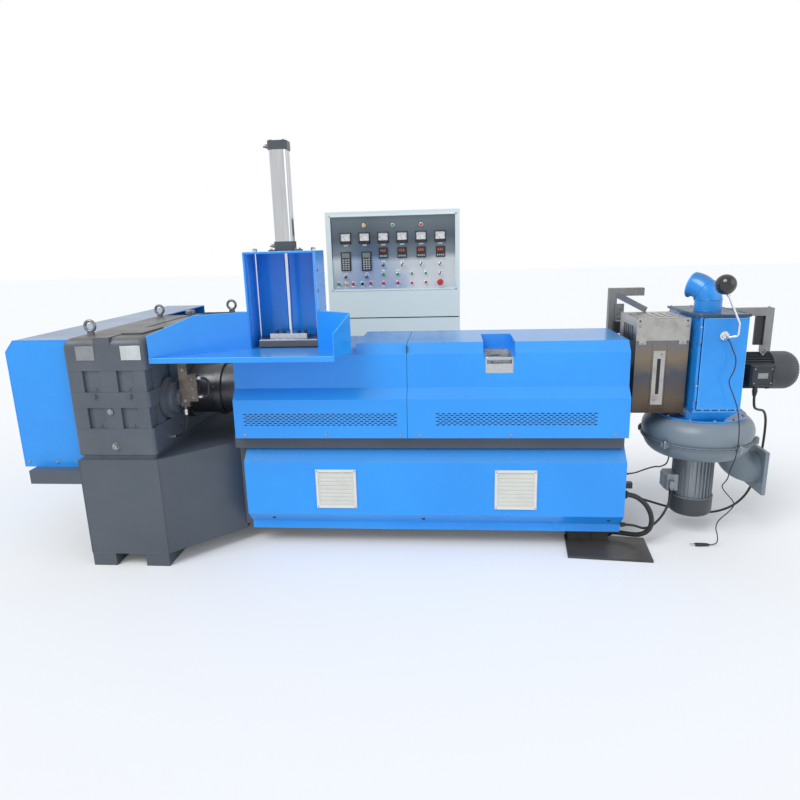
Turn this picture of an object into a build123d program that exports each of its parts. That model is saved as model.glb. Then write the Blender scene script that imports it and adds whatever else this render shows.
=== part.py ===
from build123d import *
import math
import os

os.makedirs("parts", exist_ok=True)

# Plastic extruder with a ram-fed hopper, an air-cooled cutter chamber and a control cabinet.
# Millimetres, +Z up, +X along the flow from the gearbox to the die, -Y to the operator.
# The origin is on the floor below the middle of the whole plant.

# Datum lines of the machine
FRONT_Y = -1195.0
BARREL_Y = -710.0
BARREL_Z = 780.0

# Pedestal under the gearbox
PEDESTAL_X0 = -1554.0
PEDESTAL_X1 = -1170.0
PEDESTAL_BACK_Y = 400.0
PEDESTAL_TOP_Z = 545.0
FOOT_H = 66.0
FOOT_W = 116.0
SHELF_X0 = -1810.0
SHELF_Z0 = 424.0
SHELF_TOP_Z = 490.0

# Gearbox
GEARBOX_X0 = -1550.0
GEARBOX_X1 = -1169.0
GEARBOX_BACK_Y = -240.0
GEARBOX_SPLIT_Z = 834.0
GEARBOX_TOP_Z = 1120.0
GEARBOX_RECESS = 14.0

# Belt guard and drive
GUARD_X0 = -1867.0
GUARD_X1 = -1554.0
GUARD_Y0 = -1135.0
GUARD_Y1 = 505.0
GUARD_TOP_Z = 1106.0
SHEET = 5.0
MOTOR_Y = 105.0
MOTOR_Z = 850.0
MOTOR_R = 245.0
INPUT_Y = -420.0
INPUT_Z = 850.0

# Long base and its panels
BASE_X0 = -871.0
BASE_X1 = 995.0
BASE_HALF = 195.0
BASE_BOTTOM_Z = 95.0
BEAM_BOTTOM_Z = 530.0
BEAM_HALF = 255.0
COVER_BOTTOM_Z = 596.0
PANEL_X0 = -822.0
PANEL_X1 = 1024.0

# Barrel covers
COVER_X0 = -848.0
COVER_SEAM_X = -7.0
COVER_X1 = 1020.0
COVER_TOP_Z = 1039.0

# Hopper tray, ram housing and ram
TRAY_Z = 1020.0
TRAY_T = 4.0
TRAY_FRONT_Y = -1165.0
TRAY_CORNER_Y = -1045.0
RAM_X = -598.0
RAM_Y = -816.0
HOUSING_X0 = -769.0
HOUSING_X1 = -427.0
HOUSING_Y0 = -922.0
HOUSING_Y1 = -710.0
HOUSING_TOP_Z = 1475.0
HOUSING_T = 8.0
GUIDE_OFFSET = 143.0
GUIDE_R = 6.0
ROD_R = 12.0
PLATE_Z0 = 1025.0
PLATE_H = 36.0
CYLINDER_X = -588.0

# Die head box, cutter chamber and blower
DIE_X0 = 1065.0
DIE_X1 = 1307.0
DIE_Y0 = -865.0
DIE_Y1 = -575.0
DIE_Z0 = 676.0
DIE_Z1 = 1129.0
CHAMBER_X0 = 1330.0
CHAMBER_X1 = 1542.0
CHAMBER_Y0 = -913.0
CHAMBER_Y1 = -495.0
CHAMBER_Z0 = 702.0
CHAMBER_Z1 = 1139.0
CHAMBER_T = 6.0
DOOR_GAP = 5.0
DOOR_T = 7.0
HINGE_X = 1334.0
HINGE_R = 6.0
CUTTER_Z = 850.0
BLOWER_X = 1436.0
BLOWER_R = 275.0
BLOWER_SEAM_Z = 520.0
BLOWER_TOP_Z = 640.0
BLOWER_BOTTOM_Z = 438.0

# Control cabinet
CABINET_X0 = -708.0
CABINET_X1 = 263.0
CABINET_Y0 = 795.0
CABINET_Y1 = 1195.0
CABINET_H = 1726.0


def block(x0, x1, y0, y1, z0, z1, mode=Mode.ADD):
    """A rectangular block between two corners, in the part that is open."""
    with Locations(((x0 + x1) / 2, (y0 + y1) / 2, (z0 + z1) / 2)):
        Box(x1 - x0, y1 - y0, z1 - z0, mode=mode)


def round_x(x0, x1, y, z, radius, mode=Mode.ADD):
    """A cylinder that lies along X."""
    with Locations(Location(((x0 + x1) / 2, y, z), (0, 90, 0))):
        Cylinder(radius, x1 - x0, mode=mode)


def round_y(x, y0, y1, z, radius, mode=Mode.ADD):
    """A cylinder that lies along Y."""
    with Locations(Location((x, (y0 + y1) / 2, z), (90, 0, 0))):
        Cylinder(radius, y1 - y0, mode=mode)


def round_z(x, y, z0, z1, radius, mode=Mode.ADD):
    """An upright cylinder."""
    with Locations((x, y, (z0 + z1) / 2)):
        Cylinder(radius, z1 - z0, mode=mode)


def save(builder, name):
    """Label the finished piece and write it to its own file."""
    builder.part.label = name
    export_step(builder.part, f"parts/{name}.step")


# Pedestal: a welded box on two long runners, with a slanting side towards the barrel
with BuildPart() as pedestal:
    with BuildSketch(Plane.XY.offset(FOOT_H)):
        with BuildLine():
            Polyline(
                (PEDESTAL_X0, FRONT_Y),
                (PEDESTAL_X1, FRONT_Y),
                (BASE_X0, BARREL_Y - BASE_HALF + 7),
                (BASE_X0, PEDESTAL_BACK_Y),
                (PEDESTAL_X0, PEDESTAL_BACK_Y),
                close=True,
            )
        make_face()
    extrude(amount=PEDESTAL_TOP_Z - FOOT_H)
    for foot_x in (PEDESTAL_X0, PEDESTAL_X1 - FOOT_W):
        block(foot_x, foot_x + FOOT_W, FRONT_Y, PEDESTAL_BACK_Y, 0, FOOT_H)
    block(SHELF_X0, PEDESTAL_X0, FRONT_Y, GUARD_Y1, SHELF_Z0, SHELF_TOP_Z)
    block(PEDESTAL_X0, PEDESTAL_X0 + 40, PEDESTAL_BACK_Y, GUARD_Y1, SHELF_Z0, SHELF_TOP_Z)
save(pedestal, "pedestal")


# Gearbox: a split cast casing with recessed bands and upright pads between its flanges
def casing_slab(z0, z1, inset):
    """One horizontal band of the casing, with rounded upright corners."""
    length = GEARBOX_BACK_Y - (FRONT_Y + 3) - 2 * inset
    width = GEARBOX_X1 - GEARBOX_X0 - 2 * inset
    middle = ((GEARBOX_X0 + GEARBOX_X1) / 2, (GEARBOX_BACK_Y + FRONT_Y + 3) / 2)
    with BuildSketch(Plane.XY.offset(z0)) as outline:
        with Locations(middle):
            RectangleRounded(width, length, 18)
    extrude(outline.sketch, amount=z1 - z0)


FULL_PADS = ((8, 76), (158, 238), (316, 373))
LOW_PADS = ((100, 158), (262, 316))
SIDE_PADS = ((70, 150), (250, 330), (430, 520), (620, 710), (800, 880))


def casing_pads(z0, z1):
    """The upright pads that fill the recess between two flanges, front, back and side."""
    for pads, relief in ((FULL_PADS, 12), (LOW_PADS, 7)):
        for pad_x0, pad_x1 in pads:
            x0 = GEARBOX_X0 + pad_x0
            x1 = GEARBOX_X0 + pad_x1
            front = FRONT_Y + 3 + GEARBOX_RECESS
            back = GEARBOX_BACK_Y - GEARBOX_RECESS
            block(x0, x1, front - relief, front + 4, z0, z1)
            block(x0, x1, back - 4, back + relief, z0, z1)
    for pad_y0, pad_y1 in SIDE_PADS:
        y0 = FRONT_Y + pad_y0
        block(GEARBOX_X1 - 18, GEARBOX_X1 - 4, y0, FRONT_Y + pad_y1, z0, z1)


with BuildPart() as gearbox_lower:
    casing_slab(565, 697, 0)
    fillet(gearbox_lower.faces().sort_by(Axis.Z)[0].edges(), 10)
    casing_slab(PEDESTAL_TOP_Z, 565, 12)
    casing_slab(697, 798, GEARBOX_RECESS)
    casing_pads(697, 798)
    casing_slab(798, GEARBOX_SPLIT_Z, 0)
save(gearbox_lower, "gearbox_lower")

with BuildPart() as gearbox_upper:
    casing_slab(972, GEARBOX_TOP_Z, 0)
    fillet(gearbox_upper.faces().sort_by(Axis.Z)[-1].edges(), 40)
    casing_slab(GEARBOX_SPLIT_Z, 870, 0)
    casing_slab(870, 972, GEARBOX_RECESS)
    casing_pads(870, 972)
    rib_x = (GEARBOX_X0 + 150, GEARBOX_X0 + 226)
    block(*rib_x, FRONT_Y + 3, FRONT_Y + 60, 1040, GEARBOX_TOP_Z + 3)
    block(*rib_x, FRONT_Y + 60, GEARBOX_BACK_Y - 60, GEARBOX_TOP_Z - 5, GEARBOX_TOP_Z + 3)
    cover_x = (GEARBOX_X1 - 150, GEARBOX_X1 - 50)
    block(*cover_x, FRONT_Y + 110, FRONT_Y + 330, GEARBOX_TOP_Z - 5, GEARBOX_TOP_Z + 8)
save(gearbox_upper, "gearbox_upper")


# Lifting eyes: forged rings on a collar
def lifting_eye(x, y, z, ring_r, wire_r):
    """A forged ring that stands on its collar."""
    round_z(x, y, z, z + 14, wire_r * 2.4)
    with Locations(Location((x, y, z + 12 + ring_r + wire_r), (90, 0, 0))):
        Torus(ring_r, wire_r)


with BuildPart() as lifting_eyes:
    for eye_y in (-1080.0, -363.0):
        lifting_eye(-1470, eye_y, GEARBOX_TOP_Z, 24, 7)
    lifting_eye(-1210, MOTOR_Y, MOTOR_Z + MOTOR_R, 27, 8)
save(lifting_eyes, "lifting_eyes")

with BuildPart() as breather_cap:
    round_z(-1280, -386, GEARBOX_TOP_Z, GEARBOX_TOP_Z + 22, 13)
    round_z(-1280, -386, GEARBOX_TOP_Z + 22, GEARBOX_TOP_Z + 40, 26)
    fillet(breather_cap.edges().group_by(Axis.Z)[-1], 6)
save(breather_cap, "breather_cap")

# Side bearing cap of the gearbox with its shaft hub
CAP_Y = -1003.0
CAP_Z = 800.0
with BuildPart() as bearing_cap:
    round_x(GEARBOX_X1, GEARBOX_X1 + 22, CAP_Y, CAP_Z, 98)
    round_x(GEARBOX_X1 + 22, GEARBOX_X1 + 50, CAP_Y, CAP_Z, 74)
    round_x(GEARBOX_X1 + 50, GEARBOX_X1 + 72, CAP_Y, CAP_Z, 40)
save(bearing_cap, "bearing_cap")

# Oil union on the end of the bearing hub: a flat bar, a clamp block and a hose nipple
UNION_X0 = GEARBOX_X1 + 72
UNION_Y = -1012.0
with BuildPart() as oil_union:
    block(UNION_X0, UNION_X0 + 44, UNION_Y - 16, UNION_Y + 12, 760, 968)
    block(UNION_X0 + 44, UNION_X0 + 86, UNION_Y - 16, UNION_Y + 16, 785, 915)
    round_z(UNION_X0 + 12, UNION_Y, 728, 760, 9)
save(oil_union, "oil_union")

# Feed barrel: the flanged drum between the gearbox and the covered barrel
with BuildPart() as feed_barrel:
    round_x(GEARBOX_X1, -1140, BARREL_Y, BARREL_Z, 150)
    round_x(-1140, -1004, BARREL_Y, BARREL_Z, 128)
    round_x(-1004, -972, BARREL_Y, BARREL_Z, 140)
    round_x(-972, COVER_X0, BARREL_Y, BARREL_Z, 128)
save(feed_barrel, "feed_barrel")

# Main motor: foot mounted, ribbed, with its axis along the machine
with BuildPart() as main_motor:
    round_x(-1400, -1030, MOTOR_Y, MOTOR_Z, MOTOR_R - 18)
    round_x(-1455, -1400, MOTOR_Y, MOTOR_Z, MOTOR_R - 8)
    round_x(-1030, -990, MOTOR_Y, MOTOR_Z, MOTOR_R - 8)
    for step in range(36):
        with Locations(Location((-1215, MOTOR_Y, MOTOR_Z), (step * 10, 0, 0))):
            with Locations((0, 0, MOTOR_R - 12)):
                Box(370, 5, 24)
    for foot_y in (MOTOR_Y - 190, MOTOR_Y + 190):
        block(-1390, -1040, foot_y - 45, foot_y + 45, PEDESTAL_TOP_Z, PEDESTAL_TOP_Z + 30)
        block(-1380, -1050, foot_y - 16, foot_y + 16, PEDESTAL_TOP_Z + 30, MOTOR_Z - 120)
    round_x(-1560, -1455, MOTOR_Y, MOTOR_Z, 32)
save(main_motor, "main_motor")



# Belt drive: two grooved pulleys and one set of belts, inside the guard
def pulley(x0, x1, y, z, radius, bore_from):
    """A grooved pulley on its shaft."""
    round_x(x0, x1, y, z, radius)
    for groove in range(4):
        centre = x0 + 20 + groove * (x1 - x0 - 40) / 3
        with BuildSketch(Plane.XY.offset(z)) as section:
            with Locations((centre, y + radius)):
                Rectangle(12, 14)
        revolve(section.sketch, axis=Axis((x0, y, z), (1, 0, 0)), mode=Mode.SUBTRACT)
    round_x(x1, bore_from, y, z, 30)


DRIVE_X0 = -1760.0
DRIVE_X1 = -1650.0
DRIVEN_R = 180.0
DRIVING_R = 100.0
with BuildPart() as drive_pulleys:
    pulley(DRIVE_X0, DRIVE_X1, INPUT_Y, INPUT_Z, DRIVEN_R, GEARBOX_X0)
    pulley(DRIVE_X0, DRIVE_X1, MOTOR_Y, MOTOR_Z, DRIVING_R, -1560)
save(drive_pulleys, "drive_pulleys")

with BuildPart() as drive_belts:
    for groove in range(4):
        centre = DRIVE_X0 + 20 + groove * (DRIVE_X1 - DRIVE_X0 - 40) / 3
        with BuildSketch(Plane.YZ.offset(centre - 5)):
            with Locations((INPUT_Y, INPUT_Z)):
                Circle(DRIVEN_R + 6)
            with Locations((MOTOR_Y, MOTOR_Z)):
                Circle(DRIVING_R + 6)
            make_hull()
            with Locations((INPUT_Y, INPUT_Z)):
                Circle(DRIVEN_R, mode=Mode.SUBTRACT)
            with Locations((MOTOR_Y, MOTOR_Z)):
                Circle(DRIVING_R, mode=Mode.SUBTRACT)
            with BuildLine():
                Polyline(
                    (INPUT_Y, INPUT_Z + DRIVEN_R),
                    (MOTOR_Y, MOTOR_Z + DRIVING_R),
                    (MOTOR_Y, MOTOR_Z - DRIVING_R),
                    (INPUT_Y, INPUT_Z - DRIVEN_R),
                    close=True,
                )
            make_face(mode=Mode.SUBTRACT)
        extrude(amount=10)
save(drive_belts, "drive_belts")

# Belt guard: a folded sheet hood, open towards the motor and the gearbox
with BuildPart() as belt_guard:
    with BuildSketch(Plane.XZ.offset(-GUARD_Y1)):
        with BuildLine():
            Polyline(
                (GUARD_X0, SHELF_TOP_Z),
                (GUARD_X0, GUARD_TOP_Z - 52),
                (GUARD_X0 + 44, GUARD_TOP_Z),
                (GUARD_X1, GUARD_TOP_Z),
                (GUARD_X1, SHELF_TOP_Z),
                close=True,
            )
        make_face()
    extrude(amount=GUARD_Y1 - GUARD_Y0)
    with BuildSketch(Plane.XZ.offset(-GUARD_Y1 + SHEET)):
        with BuildLine():
            Polyline(
                (GUARD_X0 + SHEET, SHELF_TOP_Z),
                (GUARD_X0 + SHEET, GUARD_TOP_Z - 54),
                (GUARD_X0 + 46, GUARD_TOP_Z - SHEET),
                (GUARD_X1, GUARD_TOP_Z - SHEET),
                (GUARD_X1, SHELF_TOP_Z),
                close=True,
            )
        make_face()
    extrude(amount=GUARD_Y1 - GUARD_Y0 - 2 * SHEET, mode=Mode.SUBTRACT)
save(belt_guard, "belt_guard")

# Long base: a deep box under a wider top beam
with BuildPart() as main_base:
    base_y = (BARREL_Y - BASE_HALF, BARREL_Y + BASE_HALF)
    beam_y = (BARREL_Y - BEAM_HALF, BARREL_Y + BEAM_HALF)
    block(BASE_X0, BASE_X1, *base_y, BASE_BOTTOM_Z, BEAM_BOTTOM_Z)
    block(BASE_X0, COVER_X1 - 5, *beam_y, BEAM_BOTTOM_Z, COVER_BOTTOM_Z)
save(main_base, "main_base")

# Foot at the die end: two short posts on a loose levelling plate
FOOT_PLATE_T = 12.0
with BuildPart() as end_foot:
    with BuildSketch():
        with Locations(Location((966, -949, 0), (0, 0, -5.2))):
            Rectangle(393, 240)
    extrude(amount=FOOT_PLATE_T)
    block(790, 905, -880, -540, FOOT_PLATE_T, BASE_BOTTOM_Z)
    block(905, 985, -885, -800, FOOT_PLATE_T, BASE_BOTTOM_Z)
    block(790, 985, -620, -540, 0, FOOT_PLATE_T)
save(end_foot, "end_foot")


# Side panels of the base: folded sheets with a ridge below the top edge
def base_panel(side):
    """A folded panel with closed ends; side is -1 in front and 1 behind."""

    def point(inward, z):
        return (BARREL_Y + side * (295 - inward), z)

    with BuildSketch(Plane.YZ.offset(PANEL_X0)) as outside:
        with BuildLine():
            Polyline(
                point(100, BEAM_BOTTOM_Z),
                point(64, BEAM_BOTTOM_Z),
                point(64, 523),
                point(0, 468),
                point(0, 195),
                point(62, 130),
                point(62, 89),
                point(66, 89),
                point(66, 132),
                point(100, 132),
                close=True,
            )
        make_face()
    extrude(outside.sketch, amount=PANEL_X1 - PANEL_X0)
    with BuildSketch(Plane.YZ.offset(PANEL_X0 + 4)) as hollow:
        with BuildLine():
            Polyline(
                point(100, 520),
                point(67, 520),
                point(4, 466),
                point(4, 197),
                point(66, 134),
                point(100, 134),
                close=True,
            )
        make_face()
    extrude(hollow.sketch, amount=PANEL_X1 - PANEL_X0 - 8, mode=Mode.SUBTRACT)


with BuildPart() as base_panels:
    base_panel(-1)
    base_panel(1)
save(base_panels, "base_panels")


# Air grilles in the front panel: framed louvres
def air_grille(x):
    """A square frame filled with sloping louvre blades."""
    face_y = BARREL_Y - 295
    side = 200
    z = 332
    frame = side / 2
    hole = side / 2 - 12
    block(x - frame, x + frame, face_y - 6, face_y, z - frame, z + frame)
    block(x - hole, x + hole, face_y - 6, face_y - 2, z - hole, z + hole, Mode.SUBTRACT)
    for blade in range(9):
        blade_z = z - 80 + blade * 20
        with Locations(Location((x, face_y - 4, blade_z), (30, 0, 0))):
            Box(side - 22, 2, 11)


with BuildPart() as air_grilles:
    air_grille(-366)
    air_grille(508)
save(air_grilles, "air_grilles")


# Barrel covers: long folded hoods with two bevels on each side
def cover_half_profile(side, top_z):
    """Points of one side of the hood, from its foot up to its top edge."""
    points = [
        (BARREL_Y + side * 306, COVER_BOTTOM_Z),
        (BARREL_Y + side * 303, 786),
        (BARREL_Y + side * 257, 833),
        (BARREL_Y + side * 250, 991),
    ]
    if top_z > 1000:
        points.append((BARREL_Y + side * 205, top_z))
    else:
        points.append((BARREL_Y + side * 245, top_z))
    return points


def cover_length(x0, x1, top_z):
    """A length of hood between two cross planes."""
    front = cover_half_profile(-1, top_z)
    back = cover_half_profile(1, top_z)
    with BuildSketch(Plane.YZ.offset(x0)) as section:
        with BuildLine():
            Polyline(*front, *reversed(back), close=True)
        make_face()
    extrude(section.sketch, amount=x1 - x0)


TRAY_BOTTOM_Z = TRAY_Z - TRAY_T
TRAY_RIGHT_X = -250.0
THROAT = (-752.0, -444.0, -905.0, -715.0, 900.0)
FEED_HOLE = (-726.0, -470.0, -895.0, -730.0)
with BuildPart() as barrel_cover_left:
    cover_length(COVER_X0, TRAY_RIGHT_X, TRAY_BOTTOM_Z)
    cover_length(TRAY_RIGHT_X, COVER_SEAM_X - 1, COVER_TOP_Z)
    block(*THROAT, TRAY_BOTTOM_Z, Mode.SUBTRACT)
save(barrel_cover_left, "barrel_cover_left")

# The right hood has a stepped notch for the vent port
VENT_X0 = 362.0
VENT_X1 = 490.0
with BuildPart() as barrel_cover_right:
    cover_length(COVER_SEAM_X + 1, COVER_X1, COVER_TOP_Z)
    block(VENT_X0 - 10, VENT_X1 + 10, -965, -660, 973, COVER_TOP_Z, Mode.SUBTRACT)
    block(VENT_X0, VENT_X1, -1020, -690, 898, 975, Mode.SUBTRACT)
save(barrel_cover_right, "barrel_cover_right")

# Vent port: a bright steel box with a sloping lip
with BuildPart() as vent_port:
    block(VENT_X0, VENT_X1, -962, -690, 898, 972)
    with BuildSketch(Plane.YZ.offset(VENT_X0 + 6)):
        with BuildLine():
            Polyline((-962, 972), (-962, 942), (-880, 915), (-720, 915), (-720, 972), close=True)
        make_face()
    extrude(amount=VENT_X1 - VENT_X0 - 12, mode=Mode.SUBTRACT)
save(vent_port, "vent_port")

# Feed throat: the square casting below the ram
with BuildPart() as feed_throat:
    block(*THROAT, TRAY_BOTTOM_Z)
    block(*FEED_HOLE, 912, TRAY_BOTTOM_Z, Mode.SUBTRACT)
save(feed_throat, "feed_throat")


# Hopper tray: folded sheet floor with a front lip, two wings and two back walls
def sheet_wall(start, end, height_start, height_end):
    """A thin upright sheet from one plan point to another, with a sloping top."""
    run = Vector(end[0] - start[0], end[1] - start[1], 0)
    plane = Plane(
        origin=(start[0], start[1], TRAY_BOTTOM_Z),
        x_dir=run.normalized(),
        z_dir=run.normalized().cross(Vector(0, 0, 1)),
    )
    with BuildSketch(plane) as elevation:
        with BuildLine():
            Polyline((0, 0), (run.length, 0), (run.length, height_end), (0, height_start), close=True)
        make_face()
    extrude(elevation.sketch, amount=TRAY_T)


TRAY_LEFT_FRONT = (-1163.0, TRAY_FRONT_Y)
TRAY_LEFT_CORNER = (-984.0, TRAY_CORNER_Y)
TRAY_RIGHT_CORNER = (-254.0, TRAY_CORNER_Y)
TRAY_RIGHT_FRONT = (-312.0, TRAY_FRONT_Y)
TRAY_LOW_WALL = 104.0
TRAY_HIGH_WALL = 182.0
with BuildPart() as hopper_tray:
    with BuildSketch(Plane.XY.offset(TRAY_BOTTOM_Z)):
        with BuildLine():
            Polyline(
                TRAY_LEFT_FRONT,
                TRAY_RIGHT_FRONT,
                TRAY_RIGHT_CORNER,
                (HOUSING_X1, HOUSING_Y0),
                (HOUSING_X1, HOUSING_Y1),
                (HOUSING_X0, HOUSING_Y1),
                (HOUSING_X0, HOUSING_Y0),
                TRAY_LEFT_CORNER,
                close=True,
            )
        make_face()
    extrude(amount=TRAY_T)
    block(*FEED_HOLE, TRAY_BOTTOM_Z, TRAY_Z, Mode.SUBTRACT)
    lip_x = (TRAY_LEFT_FRONT[0], TRAY_RIGHT_FRONT[0])
    block(*lip_x, TRAY_FRONT_Y - 3, TRAY_FRONT_Y + 1, TRAY_Z - 22, TRAY_Z)
    sheet_wall(TRAY_LEFT_FRONT, TRAY_LEFT_CORNER, TRAY_LOW_WALL, TRAY_HIGH_WALL)
    sheet_wall(TRAY_LEFT_CORNER, (HOUSING_X0, HOUSING_Y0), TRAY_HIGH_WALL, TRAY_HIGH_WALL)
    sheet_wall((HOUSING_X1, HOUSING_Y0), TRAY_RIGHT_CORNER, TRAY_HIGH_WALL, TRAY_HIGH_WALL)
    sheet_wall(TRAY_RIGHT_CORNER, TRAY_RIGHT_FRONT, TRAY_HIGH_WALL, TRAY_LOW_WALL)
save(hopper_tray, "hopper_tray")

# Ram housing: a channel open to the front, under a drilled top plate
with BuildPart() as ram_housing:
    block(HOUSING_X0, HOUSING_X1, HOUSING_Y0, HOUSING_Y1, TRAY_Z, HOUSING_TOP_Z)
    block(
        HOUSING_X0 + HOUSING_T,
        HOUSING_X1 - HOUSING_T,
        HOUSING_Y0,
        HOUSING_Y1 - HOUSING_T,
        TRAY_Z,
        HOUSING_TOP_Z - HOUSING_T,
        Mode.SUBTRACT,
    )
    round_z(CYLINDER_X, RAM_Y, HOUSING_TOP_Z - 20, HOUSING_TOP_Z, ROD_R + 5, Mode.SUBTRACT)
    for side in (-1, 1):
        rod_x = RAM_X + side * GUIDE_OFFSET
        round_z(rod_x, RAM_Y, HOUSING_TOP_Z - 20, HOUSING_TOP_Z, GUIDE_R, Mode.SUBTRACT)
save(ram_housing, "ram_housing")

# Guide rods: bright bars from the tray to nuts on the top plate
with BuildPart() as guide_rods:
    for side in (-1, 1):
        rod_x = RAM_X + side * GUIDE_OFFSET
        round_z(rod_x, RAM_Y, TRAY_Z, HOUSING_TOP_Z + 14, GUIDE_R)
        round_z(rod_x, RAM_Y, HOUSING_TOP_Z, HOUSING_TOP_Z + 9, 11)
save(guide_rods, "guide_rods")

# Air cylinder: two square heads with large corners and a polished profile tube with grooves
HEAD_HALF = 46.0
TUBE_Z0 = HOUSING_TOP_Z + 46
TUBE_Z1 = 1930.0
CYLINDER_TOP_Z = 1969.0
with BuildPart() as cylinder_heads:
    block(CYLINDER_X - 72, CYLINDER_X + 72, RAM_Y - 50, RAM_Y + 50, HOUSING_TOP_Z, HOUSING_TOP_Z + 8)
    for head_z0, head_z1 in ((HOUSING_TOP_Z + 8, TUBE_Z0), (TUBE_Z1, CYLINDER_TOP_Z)):
        with BuildSketch(Plane.XY.offset(head_z0)):
            with Locations((CYLINDER_X, RAM_Y)):
                RectangleRounded(2 * HEAD_HALF, 2 * HEAD_HALF, 18)
        extrude(amount=head_z1 - head_z0)
    round_z(CYLINDER_X, RAM_Y, HOUSING_TOP_Z, TUBE_Z0, ROD_R + 5, Mode.SUBTRACT)
save(cylinder_heads, "cylinder_heads")

with BuildPart() as cylinder_tube:
    with BuildSketch(Plane.XY.offset(TUBE_Z0)):
        with Locations((CYLINDER_X, RAM_Y)):
            RectangleRounded(84, 84, 20)
            Circle(36, mode=Mode.SUBTRACT)
        for side in (-1, 1):
            for groove_y in (RAM_Y - 24, RAM_Y + 24):
                with Locations((CYLINDER_X + side * 42, groove_y)):
                    Circle(3.5, mode=Mode.SUBTRACT)
    extrude(amount=TUBE_Z1 - TUBE_Z0)
save(cylinder_tube, "cylinder_tube")

# Ram: piston rod, clamp block and pusher plate, moving together
with BuildPart() as ram_plate:
    block(RAM_X - 131, RAM_X + 158, RAM_Y - 82, RAM_Y + 80, PLATE_Z0, PLATE_Z0 + PLATE_H)
    with Locations((RAM_X + GUIDE_OFFSET + 8, RAM_Y, PLATE_Z0 + PLATE_H / 2)):
        Box(36, 24, PLATE_H, mode=Mode.SUBTRACT)
save(ram_plate, "ram_plate")

BLOCK_TOP_Z = PLATE_Z0 + PLATE_H + 26
with BuildPart() as ram_block:
    block(CYLINDER_X - 90, CYLINDER_X + 92, RAM_Y - 64, RAM_Y + 45, PLATE_Z0 + PLATE_H, BLOCK_TOP_Z)
save(ram_block, "ram_block")

with BuildPart() as piston_rod:
    round_z(CYLINDER_X, RAM_Y, BLOCK_TOP_Z, HOUSING_TOP_Z + 60, ROD_R)
save(piston_rod, "piston_rod")

# Die head: adapter, sheet-clad heater box with its plates
with BuildPart() as die_flanges:
    round_x(COVER_X1, DIE_X0, BARREL_Y, BARREL_Z, 92)
    round_x(DIE_X1, CHAMBER_X0 + CHAMBER_T + 12, BARREL_Y, CUTTER_Z, 80)
save(die_flanges, "die_flanges")

with BuildPart() as die_head_box:
    block(DIE_X0, DIE_X1, DIE_Y0, DIE_Y1, DIE_Z0, DIE_Z1)
    for louvre in range(5):
        louvre_y = DIE_Y0 + 60 + louvre * 34
        block(DIE_X0, DIE_X0 + 3, louvre_y, louvre_y + 10, DIE_Z1 - 110, DIE_Z1 - 40, Mode.SUBTRACT)
save(die_head_box, "die_head_box")

with BuildPart() as die_box_plates:
    block(DIE_X0, DIE_X1, DIE_Y0 - 3, DIE_Y0, DIE_Z1 - 103, DIE_Z1)
    for ear_x in (DIE_X0 + 14, DIE_X1 - 46):
        block(ear_x, ear_x + 32, DIE_Y0 - 3, DIE_Y0, DIE_Z1 - 121, DIE_Z1 - 103)
    block(1149, 1203, DIE_Y0 - 4, DIE_Y0, DIE_Z0 + 42, DIE_Z0 + 302)
save(die_box_plates, "die_box_plates")

# Cutter chamber: a sheet box whose front is the door
with BuildPart() as cutter_chamber:
    block(CHAMBER_X0, CHAMBER_X1, CHAMBER_Y0, CHAMBER_Y1, CHAMBER_Z0, CHAMBER_Z1)
    block(
        CHAMBER_X0 + CHAMBER_T,
        CHAMBER_X1 - CHAMBER_T,
        CHAMBER_Y0,
        CHAMBER_Y1 - CHAMBER_T,
        CHAMBER_Z0 + CHAMBER_T,
        CHAMBER_Z1 - CHAMBER_T,
        Mode.SUBTRACT,
    )
    round_x(CHAMBER_X0, CHAMBER_X0 + CHAMBER_T, BARREL_Y, CUTTER_Z, 80, Mode.SUBTRACT)
    round_x(CHAMBER_X1 - CHAMBER_T, CHAMBER_X1, BARREL_Y, CUTTER_Z, 30, Mode.SUBTRACT)
save(cutter_chamber, "cutter_chamber")

with BuildPart() as chamber_lid:
    lid_x = (CHAMBER_X0 - 8, CHAMBER_X1 + 8)
    block(*lid_x, CHAMBER_Y0 - 4, CHAMBER_Y1 + 8, CHAMBER_Z1, CHAMBER_Z1 + 8)
    round_z(1436, BARREL_Y, CHAMBER_Z1, CHAMBER_Z1 + 8, 58, Mode.SUBTRACT)
save(chamber_lid, "chamber_lid")

DOOR_Y1 = CHAMBER_Y0 - DOOR_GAP
DOOR_Y0 = DOOR_Y1 - DOOR_T
DOOR_X0 = HINGE_X + HINGE_R + 5
HINGE_Y = DOOR_Y0
with BuildPart() as chamber_door:
    block(DOOR_X0, CHAMBER_X1 - 2, DOOR_Y0, DOOR_Y1, CHAMBER_Z0 + 6, CHAMBER_Z1 - 6)
save(chamber_door, "chamber_door")

with BuildPart() as door_hinges:
    for hinge_z in (787.0, 1060.0):
        round_z(HINGE_X, HINGE_Y, hinge_z - 34, hinge_z + 34, HINGE_R)
        block(HINGE_X - 4, HINGE_X - 1, HINGE_Y, CHAMBER_Y0, hinge_z - 34, hinge_z + 34)
save(door_hinges, "door_hinges")

with BuildPart() as cutter_head:
    round_x(1366, CHAMBER_X1, BARREL_Y, CUTTER_Z, 18)
    round_x(1366, 1400, BARREL_Y, CUTTER_Z, 38)
    for blade in range(4):
        with Locations(Location((1372, BARREL_Y, CUTTER_Z), (blade * 90 + 20, 0, 0))):
            with Locations((0, 0, 52)):
                Box(8, 26, 60)
save(cutter_head, "cutter_head")

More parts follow.
